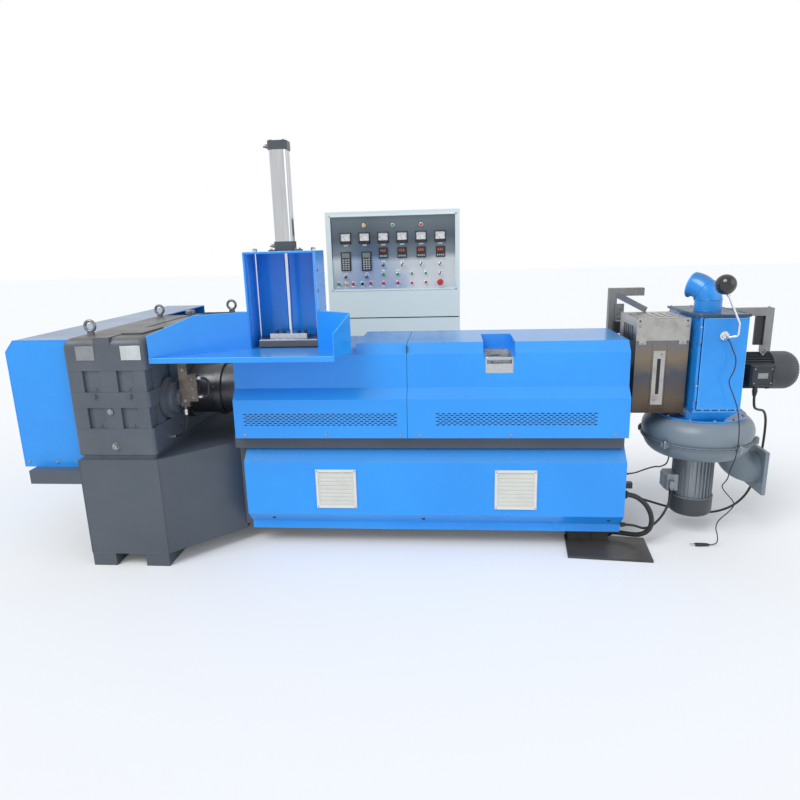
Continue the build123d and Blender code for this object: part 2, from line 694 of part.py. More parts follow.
# Cutter motor: flange mounted on the chamber side
with BuildPart() as cutter_motor:
    round_x(CHAMBER_X1, CHAMBER_X1 + 14, BARREL_Y, CUTTER_Z, 100)
    round_x(CHAMBER_X1 + 14, 1738, BARREL_Y, CUTTER_Z, 82)
    for step in range(36):
        with Locations(Location((1652, BARREL_Y, CUTTER_Z), (step * 10, 0, 0))):
            with Locations((0, 0, 84)):
                Box(172, 3, 12)
    block(1614, 1714, -805, BARREL_Y - 70, 802, 893)
save(cutter_motor, "cutter_motor")

with BuildPart() as cutter_terminal_box:
    block(1607, 1721, -845, -805, 795, 900)
    chamfer(cutter_terminal_box.faces().sort_by(Axis.Y)[0].edges(), 6)
    round_z(1644, -825, 775, 795, 11)
save(cutter_terminal_box, "cutter_terminal_box")

# Blower below the chamber: chute, inlet plate, split snail casing, outlet and motor
with BuildPart() as blower_chute:
    round_z(BLOWER_X, BARREL_Y, BLOWER_TOP_Z, BLOWER_TOP_Z + 6, 214)
    with BuildSketch(Plane.XY.offset(BLOWER_TOP_Z + 6)):
        with Locations((1407, BARREL_Y)):
            Rectangle(164, 360)
    with BuildSketch(Plane.XY.offset(CHAMBER_Z0 - 8)):
        with Locations((1436, BARREL_Y)):
            Rectangle(208, 414)
    loft()
    with BuildSketch(Plane.XY.offset(CHAMBER_Z0 - 8)):
        with Locations((1436, BARREL_Y)):
            Rectangle(224, 438)
    extrude(amount=8)
save(blower_chute, "blower_chute")


def casing_upper_profile():
    """Half section of the upper casing, from its axis out to the rim."""
    with BuildSketch(Plane.XZ.offset(-BARREL_Y)) as section:
        with BuildLine():
            Polyline((BLOWER_X, BLOWER_TOP_Z), (BLOWER_X + 208, BLOWER_TOP_Z))
            ThreePointArc(
                (BLOWER_X + 208, BLOWER_TOP_Z),
                (BLOWER_X + 240, BLOWER_TOP_Z - 22),
                (BLOWER_X + 253, BLOWER_SEAM_Z + 5),
            )
            Polyline(
                (BLOWER_X + 253, BLOWER_SEAM_Z + 5),
                (BLOWER_X + 264, BLOWER_SEAM_Z + 5),
                (BLOWER_X + 264, BLOWER_SEAM_Z),
                (BLOWER_X, BLOWER_SEAM_Z),
                (BLOWER_X, BLOWER_TOP_Z),
            )
        make_face()
    revolve(section.sketch, axis=Axis((BLOWER_X, BARREL_Y, 0), (0, 0, 1)))


def casing_lower_profile(mode=Mode.ADD):
    """Half section of the lower casing, from its axis out to the rim."""
    with BuildSketch(Plane.XZ.offset(-BARREL_Y)) as section:
        with BuildLine():
            Polyline(
                (BLOWER_X, BLOWER_BOTTOM_Z),
                (BLOWER_X, BLOWER_SEAM_Z),
                (BLOWER_X + 264, BLOWER_SEAM_Z),
                (BLOWER_X + 264, BLOWER_SEAM_Z - 5),
                (BLOWER_X + 253, BLOWER_SEAM_Z - 5),
            )
            ThreePointArc(
                (BLOWER_X + 253, BLOWER_SEAM_Z - 5),
                (BLOWER_X + 236, BLOWER_SEAM_Z - 52),
                (BLOWER_X + 196, BLOWER_BOTTOM_Z),
            )
            Polyline((BLOWER_X + 196, BLOWER_BOTTOM_Z), (BLOWER_X, BLOWER_BOTTOM_Z))
        make_face()
    revolve(section.sketch, axis=Axis((BLOWER_X, BARREL_Y, 0), (0, 0, 1)), mode=mode)


LUG_ANGLES = (-140, -65, -22, 40, 95, 150)
with BuildPart() as blower_casing:
    casing_upper_profile()
    casing_lower_profile()
    for angle in LUG_ANGLES:
        with Locations(Location((BLOWER_X, BARREL_Y, BLOWER_SEAM_Z), (0, 0, angle))):
            with Locations((268, 0, 0)):
                Box(24, 34, 24)
save(blower_casing, "blower_casing")

OUTLET_X = 1746.0
with BuildPart() as blower_outlet:
    with BuildLine() as outlet_path:
        TangentArc((OUTLET_X, -685, 337), (1622, -685, 456), tangent=(-1, 0, 0))
        Line((1622, -685, 456), (1622, -685, 476))
    with BuildSketch(Plane(origin=(OUTLET_X, -685, 337), z_dir=(-1, 0, 0))):
        Circle(80)
        Circle(73, mode=Mode.SUBTRACT)
    sweep()
    casing_lower_profile(Mode.SUBTRACT)
    block(OUTLET_X, OUTLET_X + 18, -795, -575, 225, 450)
    round_x(OUTLET_X, OUTLET_X + 18, -685, 337, 73, Mode.SUBTRACT)
save(blower_outlet, "blower_outlet")

with BuildPart() as blower_motor:
    block(1288, 1352, -762, -672, 235, 322)
    chamfer(blower_motor.faces().sort_by(Axis.X)[0].edges(), 8)
    block(1304, 1328, -784, -762, 258, 292)
    round_z(1316, -773, 244, 258, 9)
    round_z(BLOWER_X, BARREL_Y, 200, BLOWER_BOTTOM_Z, 88)
    for step in range(30):
        with Locations(Location((BLOWER_X, BARREL_Y, 320), (0, 0, step * 12))):
            with Locations((92, 0, 0)):
                Box(14, 3.5, 220)
save(blower_motor, "blower_motor")

# Air outlet elbow on the lid
with BuildPart() as lid_elbow:
    with BuildLine() as elbow_path:
        Line((1436, BARREL_Y, CHAMBER_Z1 + 8), (1436, BARREL_Y, 1200))
        ThreePointArc((1436, BARREL_Y, 1200), (1418, BARREL_Y + 18, 1243), (1376, BARREL_Y + 60, 1266))
    with BuildSketch(Plane(origin=(1436, BARREL_Y, CHAMBER_Z1 + 8), z_dir=(0, 0, 1))):
        Circle(62)
        Circle(58, mode=Mode.SUBTRACT)
    sweep()
save(lid_elbow, "lid_elbow")

# Square-tube brackets behind the die box and over the cutter motor
TUBE = 40.0
with BuildPart() as die_bracket:
    block(1032, 1032 + TUBE, -455, -455 + TUBE, COVER_BOTTOM_Z - 60, 1240)
    block(1032 + TUBE, 1210, -455, -455 + TUBE, 1240 - TUBE, 1240)
    block(960, 1032, -455, -455 + TUBE, COVER_BOTTOM_Z - 60, COVER_BOTTOM_Z)
    block(1062, 1108, -463, -455, 1071, 1160)
    brace = Vector(117, -119, -68)
    with BuildSketch(Plane(origin=(1072, -446, 1206), z_dir=brace)):
        Rectangle(18, 26)
    extrude(amount=brace.length)
save(die_bracket, "die_bracket")

with BuildPart() as cutter_bracket:
    block(1500, 1535, -487 - 8, -487, 1088, 1128)
    block(1500, 1857, -487, -487 + TUBE, 1088, 1128)
    block(1857 - TUBE, 1857, -487, -487 + TUBE, 900, 1088)
save(cutter_bracket, "cutter_bracket")

# Black blocks on the two brackets, the cable box at the end of the base and the union's short hose
with BuildPart() as black_fittings:
    block(1056, 1098, -490, -463, 1008, 1070)
    block(1776, 1857 - TUBE, -475, -459, 935, 1088)
    block(PANEL_X1, PANEL_X1 + 52, -930, -902, 312, 340)
    with BuildLine() as hose_loop:
        FilletPolyline(
            (UNION_X0 + 86, UNION_Y, 896),
            (UNION_X0 + 140, UNION_Y, 896),
            (UNION_X0 + 134, UNION_Y, 806),
            (UNION_X0 + 86, UNION_Y, 806),
            radius=26,
        )
    with BuildSketch(Plane(origin=(UNION_X0 + 86, UNION_Y, 896), z_dir=(1, 0, 0))):
        Circle(6)
    sweep(path=hose_loop.wire())
save(black_fittings, "black_fittings")

# Work lamp on the door: hub, bent neck and round head
LAMP_X = 1434.0
LAMP_Z = 1055.0
with BuildPart() as lamp_neck:
    round_y(LAMP_X, DOOR_Y0 - 12, DOOR_Y0, LAMP_Z, 20)
    with BuildLine() as neck_path:
        FilletPolyline(
            (LAMP_X, DOOR_Y0 - 12, LAMP_Z),
            (LAMP_X + 4, DOOR_Y0 - 42, LAMP_Z - 2),
            (1472, DOOR_Y0 - 58, 1060),
            (1472, DOOR_Y0 - 60, 1116),
            (1410.9, DOOR_Y0 - 62, 1245.5),
            radius=14,
        )
    with BuildSketch(Plane(origin=(LAMP_X, DOOR_Y0 - 12, LAMP_Z), z_dir=(0, -1, 0))):
        Circle(5)
    sweep()
save(lamp_neck, "lamp_neck")

with BuildPart() as lamp_head:
    with Locations((1396, DOOR_Y0 - 62, 1288)):
        Sphere(44)
save(lamp_head, "lamp_head")

# Control cabinet: sheet steel housing with a recessed instrument panel
with BuildPart() as control_cabinet:
    block(CABINET_X0, CABINET_X1, CABINET_Y0, CABINET_Y1, 0, CABINET_H)
    block(CABINET_X0 + 34, CABINET_X1 - 28, CABINET_Y0, CABINET_Y0 + 22, 1168, 1694, Mode.SUBTRACT)
    block(CABINET_X0, CABINET_X1, CABINET_Y0, CABINET_Y0 + 5, 958, 966, Mode.SUBTRACT)
    block(CABINET_X0, CABINET_X1, CABINET_Y0, CABINET_Y0 + 30, 0, 90, Mode.SUBTRACT)
save(control_cabinet, "control_cabinet")

with BuildPart() as instrument_panel:
    block(CABINET_X0 + 34, CABINET_X1 - 28, CABINET_Y0 + 16, CABINET_Y0 + 22, 1168, 1694)
save(instrument_panel, "instrument_panel")

# Fan covers of the three motors, on one body with their motors
with BuildPart() as motor_fan_covers:
    round_x(-990, -875, MOTOR_Y, MOTOR_Z, MOTOR_R)
    fillet(motor_fan_covers.edges().group_by(Axis.X)[-1], 36)
    with Locations(Location((-875, MOTOR_Y, MOTOR_Z), (0, 90, 0))):
        with PolarLocations(150, 8):
            Box(60, 14, 16, mode=Mode.SUBTRACT)
    round_x(1738, 1870, BARREL_Y, CUTTER_Z, 92)
    fillet(motor_fan_covers.edges().group_by(Axis.X)[-1], 56)
    round_z(BLOWER_X, BARREL_Y, 105, 200, 104)
    fillet(motor_fan_covers.edges().group_by(Axis.Z)[0], 26)
save(motor_fan_covers, "motor_fan_covers")

# Instruments of the panel: square meters, keypads, controllers, knobs, buttons and pilot lights
FACE_Y = CABINET_Y0 + 16
METER_X = (-566, -428, -290, -153, -15, 123)
CONTROLLER_X = (-291, -154, -15, 125)
KEYPAD_X = (-568, -416)
KNOBS = ((-294, 1347), (-154, 1349), (-16, 1349), (122, 1347), (122, 1280), (-574, 1267), (-420, 1266))
BUTTONS = ((-294, 1279), (-189, 1280), (-86, 1281), (17, 1281), (-629, 1216), (-453, 1214))
BUTTONS += ((-574, 1215), (-522, 1216), (-391, 1217), (-296, 1216), (-190, 1216), (-87, 1214))
BUTTONS += ((16, 1216), (-428, 1628), (-218, 1626), (-14, 1625))
with BuildPart() as panel_instruments:
    for x in METER_X:
        block(x - 40, x + 40, FACE_Y - 12, FACE_Y, 1501, 1581)
    for x in CONTROLLER_X:
        block(x - 34, x + 34, FACE_Y - 12, FACE_Y, 1394, 1473)
    for x in KEYPAD_X:
        block(x - 37, x + 37, FACE_Y - 14, FACE_Y, 1308, 1446)
    for x, z in KNOBS:
        round_y(x, FACE_Y - 10, FACE_Y, z, 15)
        block(x - 4, x + 4, FACE_Y - 24, FACE_Y - 10, z - 13, z + 13)
    for x, z in BUTTONS:
        round_y(x, FACE_Y - 14, FACE_Y, z, 14)
    round_y(121, FACE_Y - 18, FACE_Y, 1215, 13)
    round_y(121, FACE_Y - 32, FACE_Y - 18, 1215, 24)
save(panel_instruments, "panel_instruments")


# Free cords: round tubes along straight runs joined by the largest arcs that fit
def cord(name, diameter, points):
    """A tube along its route; prints its length and its tightest arc."""
    radii = []
    for before, corner, after in zip(points, points[1:], points[2:]):
        run_in = Vector(*corner) - Vector(*before)
        run_out = Vector(*after) - Vector(*corner)
        half_turn = math.radians(run_in.get_angle(run_out) / 2)
        radii.append(0.45 * min(run_in.length, run_out.length) / math.tan(half_turn))
    with BuildPart() as tube:
        with BuildLine() as route:
            FilletPolyline(*points, radius=radii)
        start = Vector(*points[0])
        with BuildSketch(Plane(origin=start, z_dir=Vector(*points[1]) - start)):
            Circle(diameter / 2)
        sweep()
    length = sum(edge.length for edge in route.edges())
    print(name, "length", round(length), "arcs", [round(r) for r in radii])
    save(tube, name)


# Lamp cord: leaves the hub, hangs in front of the blower and ends in its plug on the floor
LAMP_CORD_D = 5.0
lamp_cord_route = [
    (1444, DOOR_Y0 - 12, 1041),
    (1444, DOOR_Y0 - 42, 1041),
    (1458, DOOR_Y0 - 46, 1002),
    (1480, -974, 955),
    (1474, -978, 900),
    (1449, -980, 854),
    (1474, -984, 800),
    (1501, -990, 730),
    (1511, -997, 662),
    (1516, -1000, 600),
    (1514, -1001, 540),
    (1509, -1000, 482),
    (1494, -992, 432),
    (1494, -982, 380),
    (1471, -968, 344),
    (1506, -958, 300),
    (1558, -950, 246),
    (1532, -938, 194),
    (1492, -930, 150),
    (1487, -922, 104),
    (1506, -912, 62),
    (1512, -907, 8),
    (1474, -907, 8),
]
cord("lamp_cord", LAMP_CORD_D, lamp_cord_route)

with BuildPart() as lamp_plug:
    block(1404, 1474, -917, -897, 0, 16)
    fillet(lamp_plug.edges().filter_by(Axis.X), 5)
    block(1380, 1404, -914, -911, 5, 11)
    block(1380, 1404, -903, -900, 5, 11)
save(lamp_plug, "lamp_plug")

# Cutter motor cable: down behind the blower outlet and in a low sweep to the end of the base
cutter_cable_route = [
    (1644, -825, 775),
    (1644, -825, 694),
    (1694, -768, 663),
    (1754, -708, 645),
    (1792, -660, 588),
    (1808, -632, 500),
    (1816, -610, 400),
    (1816, -596, 300),
    (1800, -586, 205),
    (1765, -580, 122),
    (1700, -578, 62),
    (1606, -578, 32),
    (1500, -578, 36),
    (1372, -580, 66),
    (1240, -590, 112),
    (1130, -600, 150),
    (1070, -600, 160),
    (BASE_X1, -600, 160),
]
cord("cutter_cable", 12.0, cutter_cable_route)

# Blower cable: from the terminal box down and forward to the end of the front panel
blower_cable_route = [
    (1316, -773, 244),
    (1316, -773, 202),
    (1296, -793, 156),
    (1256, -828, 112),
    (1200, -868, 84),
    (1146, -912, 92),
    (1084, -955, 134),
    (PANEL_X1, -955, 134),
]
cord("blower_cable", 12.0, blower_cable_route)

# Supply cable: the thick loop at the end of the base, back up under the front panel
supply_cable_route = [
    (PANEL_X1, -945, 288),
    (1066, -945, 288),
    (1116, -938, 262),
    (1160, -932, 212),
    (1182, -930, 150),
    (1174, -926, 92),
    (1136, -908, 56),
    (1084, -872, 44),
    (1030, -850, 44),
    (985, -850, 44),
]
cord("supply_cable", 24.0, supply_cable_route)

# Link cable: from the end of the front panel to the underside of the blower casing
link_cable_route = [
    (PANEL_X1, -955, 398),
    (1066, -955, 398),
    (1128, -922, 408),
    (1192, -872, 406),
    (1244, -802, 378),
    (1316, -706, 366),
    (1316, -706, BLOWER_BOTTOM_Z),
]
cord("link_cable", 7.0, link_cable_route)

# Oil drain hose: from the union's nipple down and back into the gearbox
oil_drain_route = [
    (UNION_X0 + 12, UNION_Y, 728),
    (UNION_X0 + 12, UNION_Y, 688),
    (UNION_X0 + 4, UNION_Y, 650),
    (UNION_X0 - 14, UNION_Y, 620),
    (UNION_X0 - 40, UNION_Y, 606),
    (GEARBOX_X1, UNION_Y, 606),
]
cord("oil_drain_hose", 10.0, oil_drain_route)
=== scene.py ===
import bpy
import bmesh
import math
from mathutils import Matrix, Vector


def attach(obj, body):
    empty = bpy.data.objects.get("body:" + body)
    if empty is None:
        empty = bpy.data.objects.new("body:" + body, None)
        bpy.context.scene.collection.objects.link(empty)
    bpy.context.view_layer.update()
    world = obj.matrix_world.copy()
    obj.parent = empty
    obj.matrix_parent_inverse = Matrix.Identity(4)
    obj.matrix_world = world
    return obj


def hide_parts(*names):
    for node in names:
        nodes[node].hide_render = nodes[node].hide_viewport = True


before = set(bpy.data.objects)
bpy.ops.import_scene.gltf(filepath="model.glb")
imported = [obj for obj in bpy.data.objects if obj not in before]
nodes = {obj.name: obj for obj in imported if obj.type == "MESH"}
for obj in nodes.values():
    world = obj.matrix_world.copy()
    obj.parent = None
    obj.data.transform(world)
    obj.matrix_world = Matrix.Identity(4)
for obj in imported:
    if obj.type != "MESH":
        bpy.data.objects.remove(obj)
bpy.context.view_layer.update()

scene = bpy.context.scene
scene.view_settings.view_transform = "Standard"


# The studio: a plain pale floor in a surround that looks white and lights softly, with a broad sun
# from the upper left and a weaker one from the right. The camera stands where the photographer did.
def studio():
    world = bpy.data.worlds.new("pale_surround")
    scene.world = world
    world.use_nodes = True
    tree = world.node_tree
    tree.nodes.clear()
    path = tree.nodes.new("ShaderNodeLightPath")
    seen = tree.nodes.new("ShaderNodeMath")
    seen.operation = "MAXIMUM"
    tree.links.new(path.outputs["Is Camera Ray"], seen.inputs[0])
    tree.links.new(path.outputs["Is Transmission Ray"], seen.inputs[1])
    lit, white, shiny = [tree.nodes.new("ShaderNodeBackground") for _ in range(3)]
    for light, colour, strength in ((lit, (0.93, 0.96, 1.0), 0.6), (white, (1, 1, 1), 1.0),
                                    (shiny, (0.97, 0.98, 1.0), 0.8)):
        light.inputs["Color"].default_value = (*colour, 1)
        light.inputs["Strength"].default_value = strength
    first = tree.nodes.new("ShaderNodeMixShader")
    tree.links.new(path.outputs["Is Glossy Ray"], first.inputs["Fac"])
    tree.links.new(lit.outputs[0], first.inputs[1])
    tree.links.new(shiny.outputs[0], first.inputs[2])
    second = tree.nodes.new("ShaderNodeMixShader")
    tree.links.new(seen.outputs[0], second.inputs["Fac"])
    tree.links.new(first.outputs[0], second.inputs[1])
    tree.links.new(white.outputs[0], second.inputs[2])
    out = tree.nodes.new("ShaderNodeOutputWorld")
    tree.links.new(second.outputs[0], out.inputs["Surface"])

    bpy.ops.mesh.primitive_plane_add(size=60, location=(0, 0, -0.001))
    floor = bpy.context.object
    floor.name = "floor"
    pale = bpy.data.materials.new("pale_floor")
    pale.use_nodes = True
    shader = pale.node_tree.nodes["Principled BSDF"]
    shader.inputs["Base Color"].default_value = (0.86, 0.87, 0.88, 1)
    shader.inputs["Roughness"].default_value = 0.9
    shader.inputs["Emission Color"].default_value = (1, 1, 1, 1)
    ray = pale.node_tree.nodes.new("ShaderNodeLightPath")
    lift = pale.node_tree.nodes.new("ShaderNodeMath")
    lift.operation = "MULTIPLY"
    lift.inputs[1].default_value = 0.07
    pale.node_tree.links.new(ray.outputs["Is Camera Ray"], lift.inputs[0])
    pale.node_tree.links.new(lift.outputs[0], shader.inputs["Emission Strength"])
    floor.data.materials.append(pale)
    for name, strength, aim, spread in (("soft_sun", 1.7, (0.45, 0.55, -0.8), 35),
                                        ("fill_sun", 0.45, (-0.8, 0.5, -0.35), 50)):
        lamp = bpy.data.lights.new(name, "SUN")
        lamp.energy = strength
        lamp.angle = math.radians(spread)
        holder = bpy.data.objects.new(name, lamp)
        holder.rotation_euler = Vector(aim).to_track_quat("-Z", "Y").to_euler()
        scene.collection.objects.link(holder)

    yaw, pitch, roll = math.radians(5.0), math.radians(14.08), math.radians(-1.52)
    ahead = Vector((-math.sin(yaw) * math.cos(pitch), math.cos(yaw) * math.cos(pitch), -math.sin(pitch)))
    level = Vector((math.cos(yaw), math.sin(yaw), 0))
    upright = level.cross(ahead)
    right = math.cos(roll) * level + math.sin(roll) * upright
    up = -math.sin(roll) * level + math.cos(roll) * upright
    lens = bpy.data.cameras.new("camera")
    lens.sensor_width = 36.0
    lens.lens = 28.18
    lens.clip_end = 200
    eye = bpy.data.objects.new("camera", lens)
    turn = Matrix((right, up, -ahead)).transposed().to_4x4()
    eye.matrix_world = Matrix.Translation((0.210, -3.859, 1.500)) @ turn
    scene.collection.objects.link(eye)
    scene.camera = eye


studio()


# Pedestal: a welded plate box on two long runners that carries the gearbox, the motor and the
# guard. It is mild steel plate, sprayed dark grey, and bolted down through its runners.
def shader_group(name, inputs, outputs):
    """A named node group with its sockets; returns the tree, its input node and output node."""
    tree = bpy.data.node_groups.new(name, "ShaderNodeTree")
    for label, kind, value in inputs:
        socket = tree.interface.new_socket(label, in_out="INPUT", socket_type=kind)
        socket.default_value = value
    for label, kind in outputs:
        tree.interface.new_socket(label, in_out="OUTPUT", socket_type=kind)
    return tree, tree.nodes.new("NodeGroupInput"), tree.nodes.new("NodeGroupOutput")


def wire(tree, *pairs):
    for source, target in pairs:
        tree.links.new(source, target)


def node(tree, kind, **settings):
    made = tree.nodes.new("ShaderNode" + kind)
    for key, value in settings.items():
        if hasattr(made, key):
            setattr(made, key, value)
        else:
            made.inputs[key].default_value = value
    return made


def span(tree, source, low, high, to_low, to_high):
    """Map Range between two values; each limit may be a number or a socket."""
    made = node(tree, "MapRange")
    tree.links.new(source, made.inputs["Value"])
    for key, value in (("From Min", low), ("From Max", high), ("To Min", to_low), ("To Max", to_high)):
        if isinstance(value, (int, float)):
            made.inputs[key].default_value = value
        else:
            tree.links.new(value, made.inputs[key])
    return made.outputs["Result"]


def blend_colour(tree, factor, first, second):
    made = node(tree, "Mix", data_type="RGBA")
    tree.links.new(factor, made.inputs["Factor"])
    tree.links.new(first, made.inputs["A"])
    tree.links.new(second, made.inputs["B"])
    return made.outputs["Result"]


def sprayed_film():
    """Sprayed paint: cloudy tone, a paler or darker top, small specks and an orange-peel skin."""
    colour, number = "NodeSocketColor", "NodeSocketFloat"
    tree, given, out = shader_group(
        "sprayed_film",
        (("Colour", colour, (0.5, 0.5, 0.5, 1)), ("Cloud", colour, (0.4, 0.4, 0.4, 1)),
         ("Top", colour, (0.5, 0.5, 0.5, 1)), ("Speck", colour, (0.2, 0.2, 0.2, 1)),
         ("Cloud scale", number, 3.0), ("Cloud amount", number, 0.4), ("Top amount", number, 0.0),
         ("Speck amount", number, 0.2), ("Roughness", number, 0.35), ("Spread", number, 0.15),
         ("Peel scale", number, 500.0)),
        (("Color", colour), ("Roughness", number), ("Height", number)))
    place = node(tree, "TexCoord").outputs["Object"]
    cloud = node(tree, "TexNoise", Detail=5.0, Roughness=0.62)
    speck = node(tree, "TexNoise", Scale=85.0, Detail=3.0, Roughness=0.7)
    peel = node(tree, "TexNoise", Detail=1.0)
    facing = node(tree, "SeparateXYZ")
    wire(tree, (place, cloud.inputs["Vector"]), (place, speck.inputs["Vector"]),
         (place, peel.inputs["Vector"]), (given.outputs["Cloud scale"], cloud.inputs["Scale"]),
         (given.outputs["Peel scale"], peel.inputs["Scale"]),
         (node(tree, "NewGeometry").outputs["Normal"], facing.inputs[0]))
    fac = span(tree, cloud.outputs["Fac"], 0.36, 0.66, 0.0, given.outputs["Cloud amount"])
    toned = blend_colour(tree, fac, given.outputs["Colour"], given.outputs["Cloud"])
    lid = span(tree, facing.outputs["Z"], 0.5, 0.95, 0.0, given.outputs["Top amount"])
    topped = blend_colour(tree, lid, toned, given.outputs["Top"])
    dots = span(tree, speck.outputs["Fac"], 0.64, 0.72, 0.0, given.outputs["Speck amount"])
    specked = blend_colour(tree, dots, topped, given.outputs["Speck"])
    swing = node(tree, "Math", operation="MULTIPLY_ADD")
    shifted = span(tree, cloud.outputs["Fac"], 0.3, 0.7, -0.5, 0.5)
    wire(tree, (shifted, swing.inputs[0]), (given.outputs["Spread"], swing.inputs[1]),
         (given.outputs["Roughness"], swing.inputs[2]), (specked, out.inputs["Color"]),
         (swing.outputs[0], out.inputs["Roughness"]), (peel.outputs["Fac"], out.inputs["Height"]))
    return tree


SPRAYED_FILM = sprayed_film()


def new_finish(name, group):
    """A material with one node group in it: the material, its tree, its shader and the group."""
    finish = bpy.data.materials.new(name)
    finish.use_nodes = True
    tree = finish.node_tree
    effect = tree.nodes.new("ShaderNodeGroup")
    effect.node_tree = group
    return finish, tree, tree.nodes["Principled BSDF"], effect


def join_effect(tree, effect, shader, bump, depth):
    """Leads a group's colour, roughness and height to the shader."""
    skin = node(tree, "Bump", Strength=bump, Distance=depth)
    wire(tree, (effect.outputs["Color"], shader.inputs["Base Color"]),
         (effect.outputs["Roughness"], shader.inputs["Roughness"]),
         (effect.outputs["Height"], skin.inputs["Height"]), (skin.outputs[0], shader.inputs["Normal"]))


def painted(name, colour, cloud, top=None, top_amount=0.0, scale=3.0, amount=0.45, speck=(0.1, 0.1, 0.1),
            specks=0.12, rough=0.35, spread=0.2, peel=600.0, bump=0.05, metallic=0.0, coat=0.0):
    """A paint or lacquer finish made from the sprayed film group."""
    finish, tree, shader, film = new_finish(name, SPRAYED_FILM)
    for key, value in (("Colour", colour), ("Cloud", cloud), ("Top", top or colour), ("Speck", speck)):
        film.inputs[key].default_value = (*value, 1)
    for key, value in (("Cloud scale", scale), ("Cloud amount", amount), ("Top amount", top_amount),
                       ("Speck amount", specks), ("Roughness", rough), ("Spread", spread),
                       ("Peel scale", peel)):
        film.inputs[key].default_value = value
    join_effect(tree, film, shader, bump, 0.001)
    shader.inputs["Metallic"].default_value = metallic
    shader.inputs["Coat Weight"].default_value = coat
    return finish


def dress(finish, *names):
    """Gives fixed solids their finish."""
    for name in names:
        for holder in nodes[name].material_slots:
            holder.material = finish


def slab(shape, x0, x1, y0, y1, z0, z1, turn=None):
    """A block in millimetres added to a mesh in the making; turn is a matrix about its middle."""
    middle = Vector(((x0 + x1) / 2000, (y0 + y1) / 2000, (z0 + z1) / 2000))
    size = Matrix.Diagonal((abs(x1 - x0) / 1000, abs(y1 - y0) / 1000, abs(z1 - z0) / 1000, 1))
    bmesh.ops.create_cube(shape, size=1.0, matrix=Matrix.Translation(middle) @ (turn or Matrix()) @ size)


def rod(shape, start, end, r0, r1=None, sides=24):
    """A round bar or cone in millimetres between two points."""
    a, b = Vector(start) / 1000, Vector(end) / 1000
    turn = (b - a).to_track_quat("Z", "Y").to_matrix().to_4x4()
    bmesh.ops.create_cone(
        shape, cap_ends=True, segments=sides, radius1=r0 / 1000, radius2=(r0 if r1 is None else r1) / 1000,
        depth=(b - a).length, matrix=Matrix.Translation((a + b) / 2) @ turn)


def piece(name, shape, finish, body="machine", bevel=0.0):
    """Turns the mesh in the making into a named piece that rides its body."""
    bmesh.ops.recalc_face_normals(shape, faces=shape.faces)
    for face in shape.faces:
        face.smooth = True
    for edge in shape.edges:
        edge.smooth = len(edge.link_faces) == 2 and edge.calc_face_angle() < math.radians(38)
    mesh = bpy.data.meshes.new(name)
    shape.to_mesh(mesh)
    shape.free()
    made = bpy.data.objects.new(name, mesh)
    scene.collection.objects.link(made)
    mesh.materials.append(finish)
    if bevel:
        rounding = made.modifiers.new("rounded_edges", "BEVEL")
        rounding.width = bevel / 1000
        rounding.segments = 2
        rounding.limit_method = "ANGLE"
        rounding.angle_limit = math.radians(40)
    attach(made, body)
    return made


def slabs(name, boxes, finish, body="machine", bevel=0.0):
    """One piece made of blocks, each given as x0, x1, y0, y1, z0, z1."""
    shape = bmesh.new()
    for box in boxes:
        slab(shape, *box)
    return piece(name, shape, finish, body, bevel)


def rods(name, bars, finish, body="machine", bevel=0.0, sides=24):
    """One piece made of round bars, each given as start, end, radius and perhaps end radius."""
    shape = bmesh.new()
    for bar in bars:
        rod(shape, *bar, sides=sides)
    return piece(name, shape, finish, body, bevel)


def bolt_heads(name, spots, out, finish, body="machine", across=8.0, height=6.0, washer=True, sides=6):
    """Bolt heads on a face: spots in millimetres, out is the direction they stand in."""
    shape = bmesh.new()
    way = Vector(out)
    for spot in spots:
        at = Vector(spot)
        if washer:
            rod(shape, at - way * 0.5, at + way * 1.5, across * 1.35, sides=20)
        rod(shape, at + way * 1.2, at + way * height, across, across * 0.94, sides=sides)
    return piece(name, shape, finish, body, bevel=0.6)


dark_plate = painted(
    "dark_plate_paint", (0.09, 0.107, 0.13), (0.062, 0.076, 0.094), (0.125, 0.14, 0.16), 0.5, scale=2.2,
    amount=0.6, speck=(0.2, 0.19, 0.17), specks=0.15, rough=0.42, spread=0.2)
zinc = painted(
    "zinc_bolts", (0.42, 0.42, 0.41), (0.26, 0.26, 0.26), scale=60, amount=0.7, rough=0.32, spread=0.3,
    metallic=0.9, specks=0.3)
dress(dark_plate, "pedestal")
UP = (0, 0, 1)
PEDESTAL_X, PEDESTAL_WELD_Y, RUNNER_Z = (-1554, -1170), -1194, 66
seams = bmesh.new()
for seam_x in PEDESTAL_X:
    rod(seams, (seam_x, PEDESTAL_WELD_Y, RUNNER_Z), (seam_x, PEDESTAL_WELD_Y, 543), 3.0, sides=8)
rod(seams, *[(seam_x, PEDESTAL_WELD_Y, RUNNER_Z) for seam_x in PEDESTAL_X], 3.2, sides=8)
piece("pedestal_welds", seams, dark_plate)
bolt_heads("pedestal_floor_bolts", [(-1700, -1100, 490)], UP, zinc, across=9)


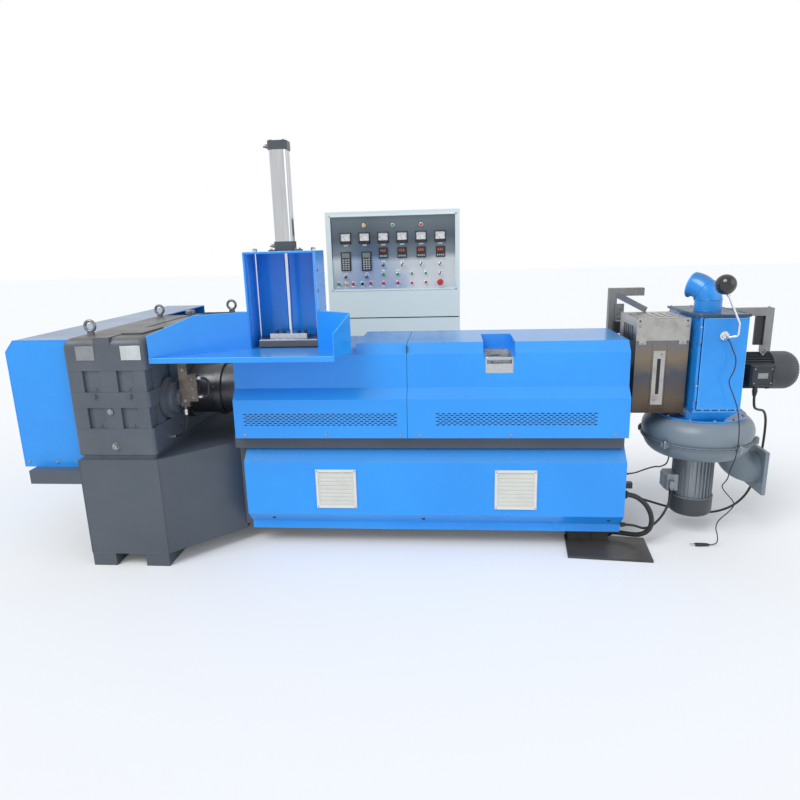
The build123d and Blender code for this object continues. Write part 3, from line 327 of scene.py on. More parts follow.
# Gearbox: a cast iron casing in two halves, bolted along its split and ribbed with upright
# pads. Cast, machined on its joints and sprayed grey; plugs, plates and bolts are bare or zinc.
cast_grey = painted(
    "gearbox_grey", (0.102, 0.12, 0.145), (0.07, 0.082, 0.1), (0.165, 0.152, 0.142), 0.75, scale=6,
    amount=0.6, speck=(0.26, 0.24, 0.22), specks=0.2, rough=0.4, spread=0.22, peel=260, bump=0.18)
dress(cast_grey, "gearbox_lower", "gearbox_upper", "bearing_cap")
FRONT, BACK, RIGHT = (0, -1, 0), (0, 1, 0), (1, 0, 0)
bolt_heads(
    "gearbox_joint_bolts", [(x, -1194.5, 852) for x in (-1428, -1260)], FRONT, cast_grey, across=9,
    height=9)
bolt_heads(
    "gearbox_pad_bolts", [(x, -1180, z) for x in (-1421, -1261) for z in (886, 712)], FRONT, cast_grey,
    across=8, height=9)
bolt_heads(
    "gearbox_side_bolts", [(-1169, y, z) for y in (-1085, -905, -700, -480) for z in (990, 820, 640)],
    RIGHT, cast_grey, across=9, height=8)
bolt_heads(
    "gearbox_back_bolts", [(x, -240, z) for x in (-1500, -1360, -1220) for z in (852, 816)], BACK,
    cast_grey, across=9, height=8)
bolt_heads(
    "gearbox_cover_screws", [(x, y, 1128) for x in (-1300, -1234) for y in (-1075, -880)], UP, zinc,
    across=5, height=4)
plugs = bmesh.new()
rod(plugs, (-1363, -1180, 779), (-1363, -1197, 779), 15, sides=6)
rod(plugs, (-1363, -1180, 779), (-1363, -1199, 779), 9, 8)
rod(plugs, (-1361, -1192, 612), (-1361, -1205, 612), 13, sides=6)
rod(plugs, (-1361, -1192, 612), (-1361, -1194.5, 612), 17)
piece("gearbox_plugs", plugs, zinc, bevel=0.6)
dull_plate = painted(
    "dull_plate", (0.33, 0.35, 0.36), (0.2, 0.21, 0.22), scale=30, rough=0.35, metallic=0.7, specks=0.3)
bright_plate = painted(
    "bright_plate", (0.68, 0.7, 0.71), (0.5, 0.52, 0.54), scale=18, rough=0.24, metallic=0.85)
PLATE_Y, PLATE_Z = (-1194, -1192.2), (1020, 1085)
slabs("blank_plate_left", [(-1489, -1402, *PLATE_Y, *PLATE_Z)], dull_plate, bevel=0.5)
slabs("blank_plate_right", [(-1278, -1184, *PLATE_Y, *PLATE_Z)], bright_plate, bevel=0.5)
bolt_heads(
    "blank_plate_rivets", [(x, -1193.8, z) for x in (-1483, -1408) for z in (1026, 1079)], FRONT, zinc,
    across=2.6, height=1.6, washer=False, sides=12)
steel_ring = painted(
    "forged_ring", (0.3, 0.31, 0.32), (0.19, 0.2, 0.21), scale=40, amount=0.7, rough=0.34, metallic=0.8,
    specks=0.3)
dress(steel_ring, "lifting_eyes", "breather_cap")


# Oil union: a bare steel bar on the end of the bearing hub, with a dark clamp block, a short
# rubber loop and a drain hose that goes back into the casing. Turned fittings, crimped hose.
def cord_curve(name, points, diameter, finish):
    """A round cord on one smooth line through its control points."""
    line = bpy.data.curves.new(name, "CURVE")
    line.dimensions = "3D"
    line.bevel_depth = diameter / 2
    line.bevel_resolution = 5
    line.resolution_u = 10
    line.use_fill_caps = True
    spline = line.splines.new("NURBS")
    spline.points.add(len(points) - 1)
    for point, place in zip(spline.points, points):
        point.co = (*place, 1)
    spline.order_u = 3
    spline.use_endpoint_u = True
    line.materials.append(finish)
    made = bpy.data.objects.new(name, line)
    scene.collection.objects.link(made)
    return made


def strain_relief(name, start, way, cord_r, length, finish):
    """A tapered, ribbed sleeve where a cord leaves a housing; millimetres."""
    shape = bmesh.new()
    at, along = Vector(start), Vector(way).normalized()
    rod(shape, at, at + along * length, cord_r * 2.0, cord_r * 1.15)
    for step in range(4):
        share = 0.14 + step * 0.2
        middle = at + along * length * share
        r = cord_r * (2.08 - 0.85 * share)
        rod(shape, middle - along * length * 0.045, middle + along * length * 0.045, r + cord_r * 0.16)
    return piece(name, shape, finish)


brown_steel = painted(
    "oiled_brown_steel", (0.2, 0.165, 0.14), (0.1, 0.085, 0.078), (0.3, 0.26, 0.22), 0.4, scale=22,
    amount=0.8, speck=(0.34, 0.3, 0.26), specks=0.5, rough=0.36, metallic=0.75)
black_rubber = painted(
    "black_rubber", (0.022, 0.022, 0.024), (0.035, 0.034, 0.034), scale=30, amount=0.6,
    speck=(0.1, 0.1, 0.1), specks=0.15, rough=0.5, spread=0.15, peel=900, bump=0.08)
black_moulding = painted(
    "black_moulding", (0.024, 0.024, 0.026), (0.04, 0.04, 0.042), scale=14, rough=0.36, spread=0.2,
    peel=1400, bump=0.06)
dress(brown_steel, "oil_union")
dress(black_moulding, "black_fittings")
bolt_heads("oil_union_screws", [(-1075, -1028, z) for z in (790, 940)], FRONT, zinc, across=6, height=6)
bolt_heads(
    "clamp_screws", [(-1032, -1028, z) for z in (805, 850, 895)], FRONT, steel_ring, across=5.5, height=6)
UNION_Y = -1012
union_ends = bmesh.new()
for z in (896, 806):
    rod(union_ends, (-1011, UNION_Y, z), (-993, UNION_Y, z), 9.5, 8, sides=6)
rod(union_ends, (-1085, UNION_Y, 716), (-1085, UNION_Y, 744), 10.5, sides=6)
rod(union_ends, (-1169, UNION_Y, 606), (-1150, UNION_Y, 606), 9.5, sides=6)
piece("hose_fittings", union_ends, bright_plate, bevel=0.6)
drain = cord_curve("drain_hose_line", [
    (-1.085, -1.012, 0.728), (-1.085, -1.012, 0.688), (-1.093, -1.012, 0.65), (-1.111, -1.012, 0.62),
    (-1.137, -1.012, 0.606), (-1.169, -1.012, 0.606),
], 0.010, black_rubber)
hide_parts("oil_drain_hose")
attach(drain, "machine")


# Feed barrel: a turned steel drum with a heavy bolted flange between gearbox and cover. Bare
# steel gone dark with oil and heat, its flange bolts still brighter.
dark_steel = painted(
    "dark_oily_steel", (0.085, 0.088, 0.095), (0.045, 0.047, 0.05), (0.16, 0.155, 0.15), 0.5, scale=9,
    amount=0.7, speck=(0.3, 0.28, 0.26), specks=0.35, rough=0.34, metallic=0.6)
dress(dark_steel, "feed_barrel")
BARREL_Y, BARREL_Z, LEFT = -710, 780, (-1, 0, 0)
around = [math.radians(a) for a in range(15, 375, 30)]
bolt_heads(
    "barrel_flange_bolts", [(-1004, BARREL_Y + 129 * math.cos(a) * 0.96, BARREL_Z + 124 * math.sin(a))
    for a in around], LEFT, zinc, across=6, height=9, washer=False)


# Main motor: a foot-mounted ribbed frame behind the gearbox with a pressed fan cover. Cast
# and pressed iron, sprayed dark, driving the belts inside the guard.
motor_dark = painted(
    "motor_dark_paint", (0.055, 0.063, 0.072), (0.035, 0.04, 0.048), (0.1, 0.105, 0.11), 0.4, scale=5,
    rough=0.42, spread=0.2, speck=(0.2, 0.2, 0.19), specks=0.2)
groove_iron = painted("turned_iron", (0.3, 0.3, 0.3), (0.18, 0.18, 0.18), scale=26, rough=0.3, metallic=0.85)
dress(motor_dark, "main_motor", "motor_fan_covers")
dress(groove_iron, "drive_pulleys")
dress(black_rubber, "drive_belts")


# Belt guard: one hood folded from 2 mm sheet, with a chamfered upper corner and screwed to the
# shelf. Bright blue gloss paint; its top has picked up grey dust.
bright_blue = painted(
    "bright_blue_gloss", (0.020, 0.335, 0.93), (0.014, 0.27, 0.82), (0.12, 0.27, 0.42), 0.35, scale=1.6,
    amount=0.5, speck=(0.3, 0.5, 0.75), specks=0.05, rough=0.24, spread=0.12, peel=420, bump=0.035,
    coat=0.25)
dusty_blue = painted(
    "dusty_blue_gloss", (0.020, 0.32, 0.9), (0.015, 0.26, 0.78), (0.2, 0.26, 0.32), 0.78, scale=2.4,
    amount=0.5, speck=(0.3, 0.42, 0.55), specks=0.12, rough=0.26, spread=0.14, peel=420, bump=0.035,
    coat=0.2)
dress(dusty_blue, "belt_guard")
bolt_heads(
    "guard_screws", [(x, -1135, 512) for x in (-1842, -1700, -1580)], FRONT, zinc, across=5.5, height=4,
    sides=16)
GUARD_X, GUARD_EDGE_Y = (-1866.5, -1823, -1556), -1134.4
guard_trim = bmesh.new()
for x0, z0, x1, z1 in ((GUARD_X[1], 1106.2, GUARD_X[2], 1106.2), (GUARD_X[0], 1054, GUARD_X[1], 1105.8),
                       (GUARD_X[0], 492, GUARD_X[0], 1054)):
    rod(guard_trim, (x0, GUARD_EDGE_Y, z0), (x1, GUARD_EDGE_Y, z1), 2.2, sides=8)
slab(guard_trim, -1868, -1556, -1137, -1134.6, 490, 497)
piece("guard_folded_edges", guard_trim, bright_blue)


# Long base: a deep welded box with a wider beam on top. Dark grey paint, dusty, behind blue
# folded side panels that screw to it.
dress(dark_plate, "main_base")
worn_plate = painted(
    "worn_floor_steel", (0.085, 0.083, 0.08), (0.05, 0.05, 0.05), (0.13, 0.125, 0.12), 0.5, scale=9,
    amount=0.7, speck=(0.3, 0.28, 0.25), specks=0.5, rough=0.4, metallic=0.4)
dress(worn_plate, "end_foot")
panel_blue = painted(
    "panel_blue_gloss", (0.022, 0.34, 0.93), (0.014, 0.25, 0.78), (0.16, 0.3, 0.42), 0.5, scale=1.3,
    amount=0.55, speck=(0.25, 0.45, 0.7), specks=0.06, rough=0.25, spread=0.14, peel=380, bump=0.04,
    coat=0.2)
dress(panel_blue, "base_panels")
hollows = painted("deep_shadow", (0.010, 0.012, 0.016), (0.018, 0.02, 0.024), scale=30, rough=0.6)
rods("panel_cable_holes", [((x, -953, 168), (x, -976.5, 168), 11) for x in (-700, 60, 960)], hollows)
cream = painted("cream_plastic", (0.76, 0.76, 0.71), (0.66, 0.66, 0.61), scale=8, rough=0.4, spread=0.2)
dress(cream, "air_grilles")
GRILLE_X, GRILLE_Z = (-366, 508), 332
filter_mat = painted(
    "filter_mat", (0.28, 0.3, 0.31), (0.16, 0.17, 0.18), scale=120, amount=0.9, rough=0.9, peel=2400,
    bump=0.4)
slabs("grille_filters", [(x - 87, x + 87, -1006.4, -1005.4, GRILLE_Z - 87, GRILLE_Z + 87) for x in GRILLE_X],
      filter_mat)
bolt_heads(
    "grille_screws", [(x + dx, -1011.2, GRILLE_Z + dz) for x in GRILLE_X for dx in (-93, 93)
    for dz in (-93, 93)], FRONT, zinc, across=3.2, height=1.8, washer=False, sides=14)


# Cables at the end of the base: a thick supply loop, a thin link to the blower and the blower's
# own lead. Black rubber sheath, held by a ribbed gland at both ends of each.
supply = cord_curve("supply_cable_line", [
    (1.024, -0.945, 0.288), (1.066, -0.945, 0.288), (1.116, -0.938, 0.262), (1.16, -0.932, 0.212),
    (1.182, -0.93, 0.15), (1.174, -0.926, 0.092), (1.136, -0.908, 0.056), (1.084, -0.872, 0.044),
    (1.03, -0.85, 0.044), (0.985, -0.85, 0.044),
], 0.024, black_rubber)
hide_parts("supply_cable")
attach(supply, "machine")
link = cord_curve("link_cable_line", [
    (1.024, -0.955, 0.398), (1.066, -0.955, 0.398), (1.128, -0.922, 0.408), (1.192, -0.872, 0.406),
    (1.244, -0.802, 0.378), (1.316, -0.706, 0.366), (1.316, -0.706, 0.438),
], 0.007, black_rubber)
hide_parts("link_cable")
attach(link, "machine")
lead = cord_curve("blower_cable_line", [
    (1.316, -0.773, 0.244), (1.316, -0.773, 0.202), (1.296, -0.793, 0.156), (1.256, -0.828, 0.112),
    (1.2, -0.868, 0.084), (1.146, -0.912, 0.092), (1.084, -0.955, 0.134), (1.024, -0.955, 0.134),
], 0.012, black_rubber)
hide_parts("blower_cable")
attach(lead, "machine")
for gland, start, way, cord_r, length in (
        ("supply_gland", (1024, -945, 288), (1, 0, 0), 12, 30),
        ("supply_gland_foot", (985, -850, 44), (1, 0, 0), 12, 30),
        ("link_gland", (1024, -955, 398), (1, 0, 0), 3.6, 22),
        ("link_gland_blower", (1316, -706, 438), (0, 0, -1), 3.6, 22),
        ("blower_gland_panel", (1024, -955, 134), (1, 0, 0), 6, 26),
        ("blower_gland_box", (1316, -773, 244), (0, 0, -1), 6, 26)):
    strain_relief(gland, start, way, cord_r, length, black_moulding)


# Barrel covers: two long hoods folded with two bevels a side and punched with staggered
# vent slots. Blue gloss sheet, held by screws along the foot; a seam parts the hoods.
dress(bright_blue, "barrel_cover_left", "barrel_cover_right")
SLOT_PITCH, SLOT_ROWS, SLOT_ROW_H, SLOT_Z0 = 27, 7, 9.0, 661.5
COVER_HALF_Y, COVER_FOOT_Z, COVER_LEAN = 306.6, 596, 0.0158


def vent_slots():
    """The middle of each slot, row by row, along both hoods."""
    for x_from, x_to in ((-803, -53), (127, 877)):
        for row in range(SLOT_ROWS):
            x = x_from + (SLOT_PITCH / 2 if row % 2 else 0) + 10
            while x < x_to - 8:
                yield x, SLOT_Z0 + row * SLOT_ROW_H
                x += SLOT_PITCH


def cover_y(z, side, proud=0.0):
    return BARREL_Y + side * (COVER_HALF_Y + proud - (z - COVER_FOOT_Z) * COVER_LEAN)


slots, slot_lip_highlights = bmesh.new(), bmesh.new()
for x, z in vent_slots():
    for side in (-1, 1):
        ring = [(-9, 0), (-5.5, 2.6), (5.5, 2.6), (9, 0), (5.5, -2.6), (-5.5, -2.6)]
        made = [slots.verts.new(((x + dx) / 1000, cover_y(z, side) / 1000, (z + dz) / 1000))
                for dx, dz in ring]
        slots.faces.new(made if side < 0 else made[::-1])
    # Below each front slot, a flat pale blue strip: a painted highlight on the slot's lower lip.
    z -= 2.9
    made = [slot_lip_highlights.verts.new(((x + dx) / 1000, cover_y(z, -1, 0.3) / 1000, (z + dz) / 1000))
            for dx, dz in ((-5.5, 0.3), (5.5, 0.3), (5.5, -0.7), (-5.5, -0.7))]
    slot_lip_highlights.faces.new(made)
piece("cover_vent_slots", slots, hollows)
piece(
    "cover_slot_lip_highlights", slot_lip_highlights, painted("slot_lip_highlight_blue", (0.16, 0.5, 1.0), (0.1, 0.42, 0.92), scale=20,
    rough=0.25))
for screws, y, way in (("cover_foot_screws", -1015.6, FRONT), ("cover_rear_screws", -404.4, BACK)):
    bolt_heads(
        screws, [(x, y, 612) for x in (-800, -400, -42, 50, 480, 960)], way, zinc, across=5, height=3.4,
        sides=16)
slabs("cover_seam_strip", [(-8, -6, -1012, -408, 598, 786), (-8, -6, -958, -462, 786, 1030)], hollows)


# Vent port: a bright steel box let into the hood, where vapour leaves the barrel. Folded and
# polished stainless, with a stirring rod across its mouth.
def drawn_grain():
    """Brushed or rolled metal: streaks stretched along one axis, with matching roughness."""
    colour, number = "NodeSocketColor", "NodeSocketFloat"
    tree, given, out = shader_group(
        "drawn_grain",
        (("Colour", colour, (0.6, 0.6, 0.6, 1)), ("Dark", colour, (0.3, 0.3, 0.3, 1)),
         ("Stretch", "NodeSocketVector", (1, 1, 1)), ("Amount", number, 0.5),
         ("Smear", number, 0.4), ("Smear scale", number, 5.0), ("Roughness", number, 0.3),
         ("Spread", number, 0.2)),
        (("Color", colour), ("Roughness", number), ("Height", number)))
    place = node(tree, "TexCoord").outputs["Object"]
    scaled = node(tree, "Mapping")
    streak = node(tree, "TexNoise", Scale=1.0, Detail=5.0, Roughness=0.7)
    smear = node(tree, "TexNoise", Detail=3.0, Roughness=0.55)
    wire(tree, (place, scaled.inputs["Vector"]), (given.outputs["Stretch"], scaled.inputs["Scale"]),
         (scaled.outputs[0], streak.inputs["Vector"]), (place, smear.inputs["Vector"]),
         (given.outputs["Smear scale"], smear.inputs["Scale"]))
    fine = span(tree, streak.outputs["Fac"], 0.3, 0.7, 0.0, given.outputs["Amount"])
    wide = span(tree, smear.outputs["Fac"], 0.42, 0.7, 0.0, given.outputs["Smear"])
    both = node(tree, "Math", operation="MAXIMUM")
    wire(tree, (fine, both.inputs[0]), (wide, both.inputs[1]))
    toned = blend_colour(tree, both.outputs[0], given.outputs["Colour"], given.outputs["Dark"])
    swing = node(tree, "Math", operation="MULTIPLY_ADD")
    wire(tree, (both.outputs[0], swing.inputs[0]), (given.outputs["Spread"], swing.inputs[1]),
         (given.outputs["Roughness"], swing.inputs[2]), (toned, out.inputs["Color"]),
         (swing.outputs[0], out.inputs["Roughness"]), (streak.outputs["Fac"], out.inputs["Height"]))
    return tree


DRAWN_GRAIN = drawn_grain()


def brushed(name, colour, dark, stretch, amount=0.4, smear=0.35, smear_scale=5.0, rough=0.25, spread=0.25,
            bump=0.03, metallic=1.0):
    """A bare metal finish made from the drawn grain group."""
    finish, tree, shader, grain = new_finish(name, DRAWN_GRAIN)
    grain.inputs["Colour"].default_value = (*colour, 1)
    grain.inputs["Dark"].default_value = (*dark, 1)
    grain.inputs["Stretch"].default_value = stretch
    for key, value in (("Amount", amount), ("Smear", smear), ("Smear scale", smear_scale),
                       ("Roughness", rough), ("Spread", spread)):
        grain.inputs[key].default_value = value
    join_effect(tree, grain, shader, bump, 0.0005)
    shader.inputs["Metallic"].default_value = metallic
    return finish


bright_sheet = brushed("bright_folded_sheet", (0.66, 0.68, 0.7), (0.3, 0.31, 0.33), (30, 400, 400), rough=0.2)
dress(bright_sheet, "vent_port")
vent_bits = bmesh.new()
rod(vent_bits, (370, -930, 955), (482, -930, 955), 6)
slab(vent_bits, 362, 490, -968, -958, 966, 974)
slab(vent_bits, 404, 448, -880, -740, 918, 940)
piece("vent_rod_and_lip", vent_bits, bright_sheet, bevel=0.8)


# Hopper tray: a folded sheet floor with a front lip, two wings and two back walls, where film
# and flakes are laid for the ram. Blue gloss outside, with painted highlights along its edges.
tray_blue = painted(
    "tray_blue_gloss", (0.024, 0.34, 0.93), (0.016, 0.26, 0.8), (0.06, 0.33, 0.72), 0.5, scale=2.2,
    amount=0.5, speck=(0.3, 0.45, 0.6), specks=0.12, rough=0.22, spread=0.18, peel=380, bump=0.035,
    coat=0.25)
dress(tray_blue, "hopper_tray")
# Paler blue for rods along edges and rims: painted highlights on those edges.
highlight_blue = painted("blue_edge_highlight", (0.12, 0.5, 1.0), (0.06, 0.4, 0.92), scale=15, rough=0.25, coat=0.2)
rim_line = [(-1163, -1165, 1120), (-984, -1045, 1198), (-769, -922, 1198)]
right_rim = [(-427, -922, 1198), (-254, -1045, 1198), (-312, -1165, 1120)]
tray_edges = [*zip(rim_line, rim_line[1:]), *zip(right_rim, right_rim[1:]),
              ((-1163, -1166, 1020.5), (-312, -1166, 1020.5))]
# The rim rods carry the paler blue: painted highlights along the tray's edges.
rods("tray_rim_highlights", [(start, end, 2.1) for start, end in tray_edges], highlight_blue, sides=8)


# Feed throat and ram: the square mouth of the barrel with a pusher plate that an air cylinder
# drives down. Cast and milled steel, dark with oil, with a bright clamp block above the plate.
dress(dark_steel, "feed_throat")
plate_steel = brushed(
    "scraped_plate_steel", (0.23, 0.2, 0.175), (0.1, 0.088, 0.08), (25, 300, 300), amount=0.6, smear=0.6,
    smear_scale=12, rough=0.32, metallic=0.85)
dress(plate_steel, "ram_plate")
milled_steel = brushed(
    "milled_bright_steel", (0.72, 0.73, 0.74), (0.42, 0.43, 0.44), (220, 20, 20), rough=0.2, amount=0.4)
dress(milled_steel, "ram_block")
bolt_heads(
    "ram_block_screws", [(x, -850, 1087) for x in (-650, -616, -542, -508)], UP, black_rubber, "ram",
    across=10, height=10, washer=False, sides=20)
# A bright milled-steel strip along the plate's top front edge: a painted highlight.
slabs("ram_plate_edge_highlight", [(-727, -442, -899.4, -897.6, 1054, 1061)], milled_steel, "ram", bevel=0.5)
polished = brushed(
    "polished_rod", (0.82, 0.83, 0.84), (0.5, 0.51, 0.52), (60, 60, 500), amount=0.25, smear=0.2,
    rough=0.09, spread=0.12)
dress(polished, "piston_rod", "guide_rods")


# Ram housing: a welded channel, open to the front, that guides the ram and carries the air
# cylinder. Blue gloss plate, screwed at its sides; the two guide rods end in nuts on its top.
dress(bright_blue, "ram_housing")
HOUSING_X, HOUSING_Y, HOUSING_TOP, RAM_Y = (-769, -427), -922, 1475, -816
for screws, x, way in (("housing_side_bolts", HOUSING_X[1], RIGHT),
                       ("housing_left_bolts", HOUSING_X[0], LEFT)):
    bolt_heads(screws, [(x, -880, 1100 + k * 95) for k in range(4)], way, zinc, across=6, height=5)
bolt_heads("guide_rod_nuts", [(x, RAM_Y, 1484) for x in (-741, -455)], UP, zinc, across=10, height=7)
top_corners = [(x, HOUSING_Y, HOUSING_TOP) for x in HOUSING_X]
# Paler blue rods up the front edges and across the top: painted highlights.
rods("housing_edge_highlights", [((x, HOUSING_Y, 1022), (x, HOUSING_Y, HOUSING_TOP), 2.0) for x in HOUSING_X]
     + [(*top_corners, 2.0)], highlight_blue, sides=8)


# Air cylinder: a grooved profile tube between two square heads that are screwed into it from
# their ends. Anodised and polished tube, slate grey lacquered heads, air ports on their left.
head_grey = painted(
    "cylinder_head_grey", (0.1, 0.11, 0.125), (0.07, 0.078, 0.09), (0.2, 0.21, 0.22), 0.5, scale=12,
    rough=0.35, metallic=0.35, specks=0.2)
dress(head_grey, "cylinder_heads")
tube_steel = brushed(
    "chromed_tube", (0.78, 0.79, 0.8), (0.4, 0.41, 0.43), (60, 60, 3), amount=0.5, smear=0.3, rough=0.1,
    spread=0.1)
dress(tube_steel, "cylinder_tube")
CYLINDER_X, CYLINDER_TOP = -588, 1969
for screws, dx, dy, z, across, height, washer in (
        ("cylinder_end_screws", 30, 30, CYLINDER_TOP, 7.5, 5, False),
        ("cylinder_foot_bolts", 60, 38, 1483, 6, 7, True)):
    bolt_heads(screws, [(CYLINDER_X + a * dx, RAM_Y + b * dy, z) for a in (-1, 1) for b in (-1, 1)], UP, zinc,
               across=across, height=height, washer=washer)
ports = bmesh.new()
for z in (1502, 1950):
    rod(ports, (-634, RAM_Y, z), (-650, RAM_Y, z), 10, sides=6)
    rod(ports, (-650, RAM_Y, z), (-662, RAM_Y, z), 7.5, 6.5)
piece("air_fittings", ports, zinc, bevel=0.6)


# Die head: a flanged adapter and a heater box clad in bare sheet, screwed together. The steel
# has taken heat colours, straw to blue-grey to brown, under one bright upper plate.
def swayed_height():
    """How high a spot lies on its sheet, as a share that a noise sways; the noise sets the gloss."""
    number = "NodeSocketFloat"
    tree, given, out = shader_group(
        "swayed_height",
        [(label, number, 0.0) for label in ("Foot", "Head", "Foot share", "Head share", "Sway", "Noise scale",
                                            "Noise detail", "Noise roughness", "Smoothest", "Roughest")],
        (("Share", number), ("Roughness", number), ("Height", number)))
    limits = given.outputs
    place = node(tree, "TexCoord").outputs["Object"]
    parts, wander = node(tree, "SeparateXYZ"), node(tree, "TexNoise")
    wire(tree, (place, parts.inputs[0]), (place, wander.inputs["Vector"]),
         *[(limits["Noise " + key.lower()], wander.inputs[key]) for key in ("Scale", "Detail", "Roughness")])
    share = span(tree, parts.outputs["Z"], limits["Foot"], limits["Head"], limits["Foot share"],
                 limits["Head share"])
    gloss = span(tree, wander.outputs["Fac"], 0.3, 0.7, limits["Smoothest"], limits["Roughest"])
    swayed = node(tree, "Math", operation="MULTIPLY_ADD")
    wire(tree, (wander.outputs["Fac"], swayed.inputs[0]), (limits["Sway"], swayed.inputs[1]),
         (share, swayed.inputs[2]), (swayed.outputs[0], out.inputs["Share"]),
         (gloss, out.inputs["Roughness"]), (wander.outputs["Fac"], out.inputs["Height"]))
    return tree


SWAYED_HEIGHT = swayed_height()


def banded_sheet(name, stops, metallic, heights, shares, sway, noise, gloss, bump=0.0):
    """Sheet whose colour runs through stops up its height, along lines that a noise makes waver."""
    finish, tree, shader, bands = new_finish(name, SWAYED_HEIGHT)
    for socket, value in zip(bands.inputs, (*heights, *shares, sway, *noise, *gloss)):
        socket.default_value = value
    ramp = node(tree, "ValToRGB")
    while len(ramp.color_ramp.elements) < len(stops):
        ramp.color_ramp.elements.new(0.5)
    for element, (position, colour) in zip(ramp.color_ramp.elements, stops):
        element.position = position
        element.color = (*colour, 1)
    wire(
        tree, (bands.outputs["Share"], ramp.inputs["Fac"]),
        (ramp.outputs["Color"], shader.inputs["Base Color"]),
        (bands.outputs["Roughness"], shader.inputs["Roughness"]))
    if bump:
        skin = node(tree, "Bump", Strength=bump, Distance=0.002)
        wire(
            tree, (bands.outputs["Height"], skin.inputs["Height"]),
            (skin.outputs[0], shader.inputs["Normal"]))
    shader.inputs["Metallic"].default_value = metallic
    return finish


tinted = banded_sheet(
    "heat_tinted_sheet",
    ((0.0, (0.06, 0.046, 0.036)), (0.22, (0.15, 0.115, 0.085)), (0.42, (0.1, 0.105, 0.125)),
     (0.6, (0.25, 0.2, 0.14)), (0.78, (0.2, 0.2, 0.21)), (1.0, (0.5, 0.49, 0.47))),
    metallic=0.85, heights=(0.66, 1.14), shares=(-0.17, 0.85), sway=0.35, noise=(7.0, 5.0, 0.65),
    gloss=(0.22, 0.46), bump=0.12)
dress(tinted, "die_head_box")
upper_plate = brushed(
    "bright_upper_plate", (0.55, 0.54, 0.52), (0.28, 0.25, 0.22), (40, 40, 260), smear=0.6, smear_scale=14,
    rough=0.24)
dress(upper_plate, "die_box_plates")
dress(dark_steel, "die_flanges")
DIE_X, DIE_FRONT, DIE_TOP = (1065, 1307), -865, 1129
slabs(
    "die_box_cladding", [(1142, 1210, DIE_FRONT - 1.6, DIE_FRONT, 690, 1024),
    (DIE_X[0], 1140, DIE_FRONT - 1.2, DIE_FRONT, 684, 1020),
    (1212, DIE_X[1], DIE_FRONT - 1.2, DIE_FRONT, 684, 1020)], tinted, bevel=0.5)
bolt_heads(
    "die_plate_screws", [(1079, -868, 1094), (1293, -868, 1094), (1095, -868, 1016), (1277, -868, 1016),
    (1186, -869, 962), (1166, -869, 742)], FRONT, zinc, across=5, height=4)
plate_holes = bmesh.new()
for x in (1079, 1293):
    rod(plate_holes, (x, -868.2, 1118), (x, -868.6, 1118), 4.5)
slab(plate_holes, 1168, 1184, -869.6, -869, 770, 940)
piece("die_plate_holes", plate_holes, hollows)
slabs(
    "die_box_top_ribs", [(1085 + k * 36, 1103 + k * 36, -800, -640, DIE_TOP, DIE_TOP + 2.5)
    for k in range(6)] + [(*DIE_X, DIE_FRONT, -858, DIE_TOP, DIE_TOP + 3),
    (DIE_X[0], 1070, DIE_FRONT, -575, DIE_TOP, DIE_TOP + 3)], tinted, bevel=0.7)
slabs(
    "die_box_louvres", [(1061, DIE_X[0], y + 8, y + 13, 1019, 1089, Matrix.Rotation(0.35, 4, "Z"))
    for y in range(-805, -668, 34)], tinted)


# Brackets: square steel tube that stands behind the die box and behind the chamber. Sawn, welded
# and left bare, with two screws in each.
bare_tube = brushed(
    "bare_square_tube", (0.34, 0.34, 0.335), (0.17, 0.165, 0.16), (140, 140, 12), amount=0.5, smear=0.6,
    smear_scale=9, rough=0.36, metallic=0.8)
dress(bare_tube, "die_bracket", "cutter_bracket")
bolt_heads("bracket_screws", [(1085, -463, 1088), (1085, -463, 1142)], FRONT, zinc, across=5, height=4)
bolt_heads("bracket_top_screws", [(1560, -467, 1128), (1838, -467, 1128)], UP, zinc, across=7, height=6)


# Cutter chamber: a sheet steel box with a flange at its foot and a door on two pin hinges. Bright
# blue gloss paint, with painted highlights in paler blue along the door's edges.
# The top tone turns the chamber's upward faces dark navy: painted shade on the blue.
chamber_blue = painted(
    "chamber_blue_gloss", (0.020, 0.335, 0.93), (0.012, 0.2, 0.62), (0.03, 0.1, 0.2), 0.7, scale=2.6,
    amount=0.55, speck=(0.3, 0.45, 0.62), specks=0.16, rough=0.24, spread=0.16, peel=380, bump=0.04,
    coat=0.25)
dress(chamber_blue, "cutter_chamber", "chamber_door", "blower_chute", "door_hinges")
# The lid carries the chamber's blue paint, drawn dark slate blue all over: painted shade.
lid_painted_shade = painted(
    "lid_painted_shade_blue", (0.035, 0.075, 0.14), (0.02, 0.045, 0.09), (0.06, 0.1, 0.16), 0.6, scale=9, rough=0.3,
    spread=0.2, speck=(0.2, 0.26, 0.33), specks=0.3)
dress(lid_painted_shade, "chamber_lid")
DOOR_X, DOOR_Y, DOOR_Z = (1345.6, 1539.4), -925.4, (708.6, 1132.4)
upright = [((x, DOOR_Y, DOOR_Z[0]), (x, DOOR_Y, DOOR_Z[1]), 1.3) for x in DOOR_X]
level = [((DOOR_X[0], DOOR_Y, z), (DOOR_X[1], DOOR_Y, z), 1.3) for z in DOOR_Z]
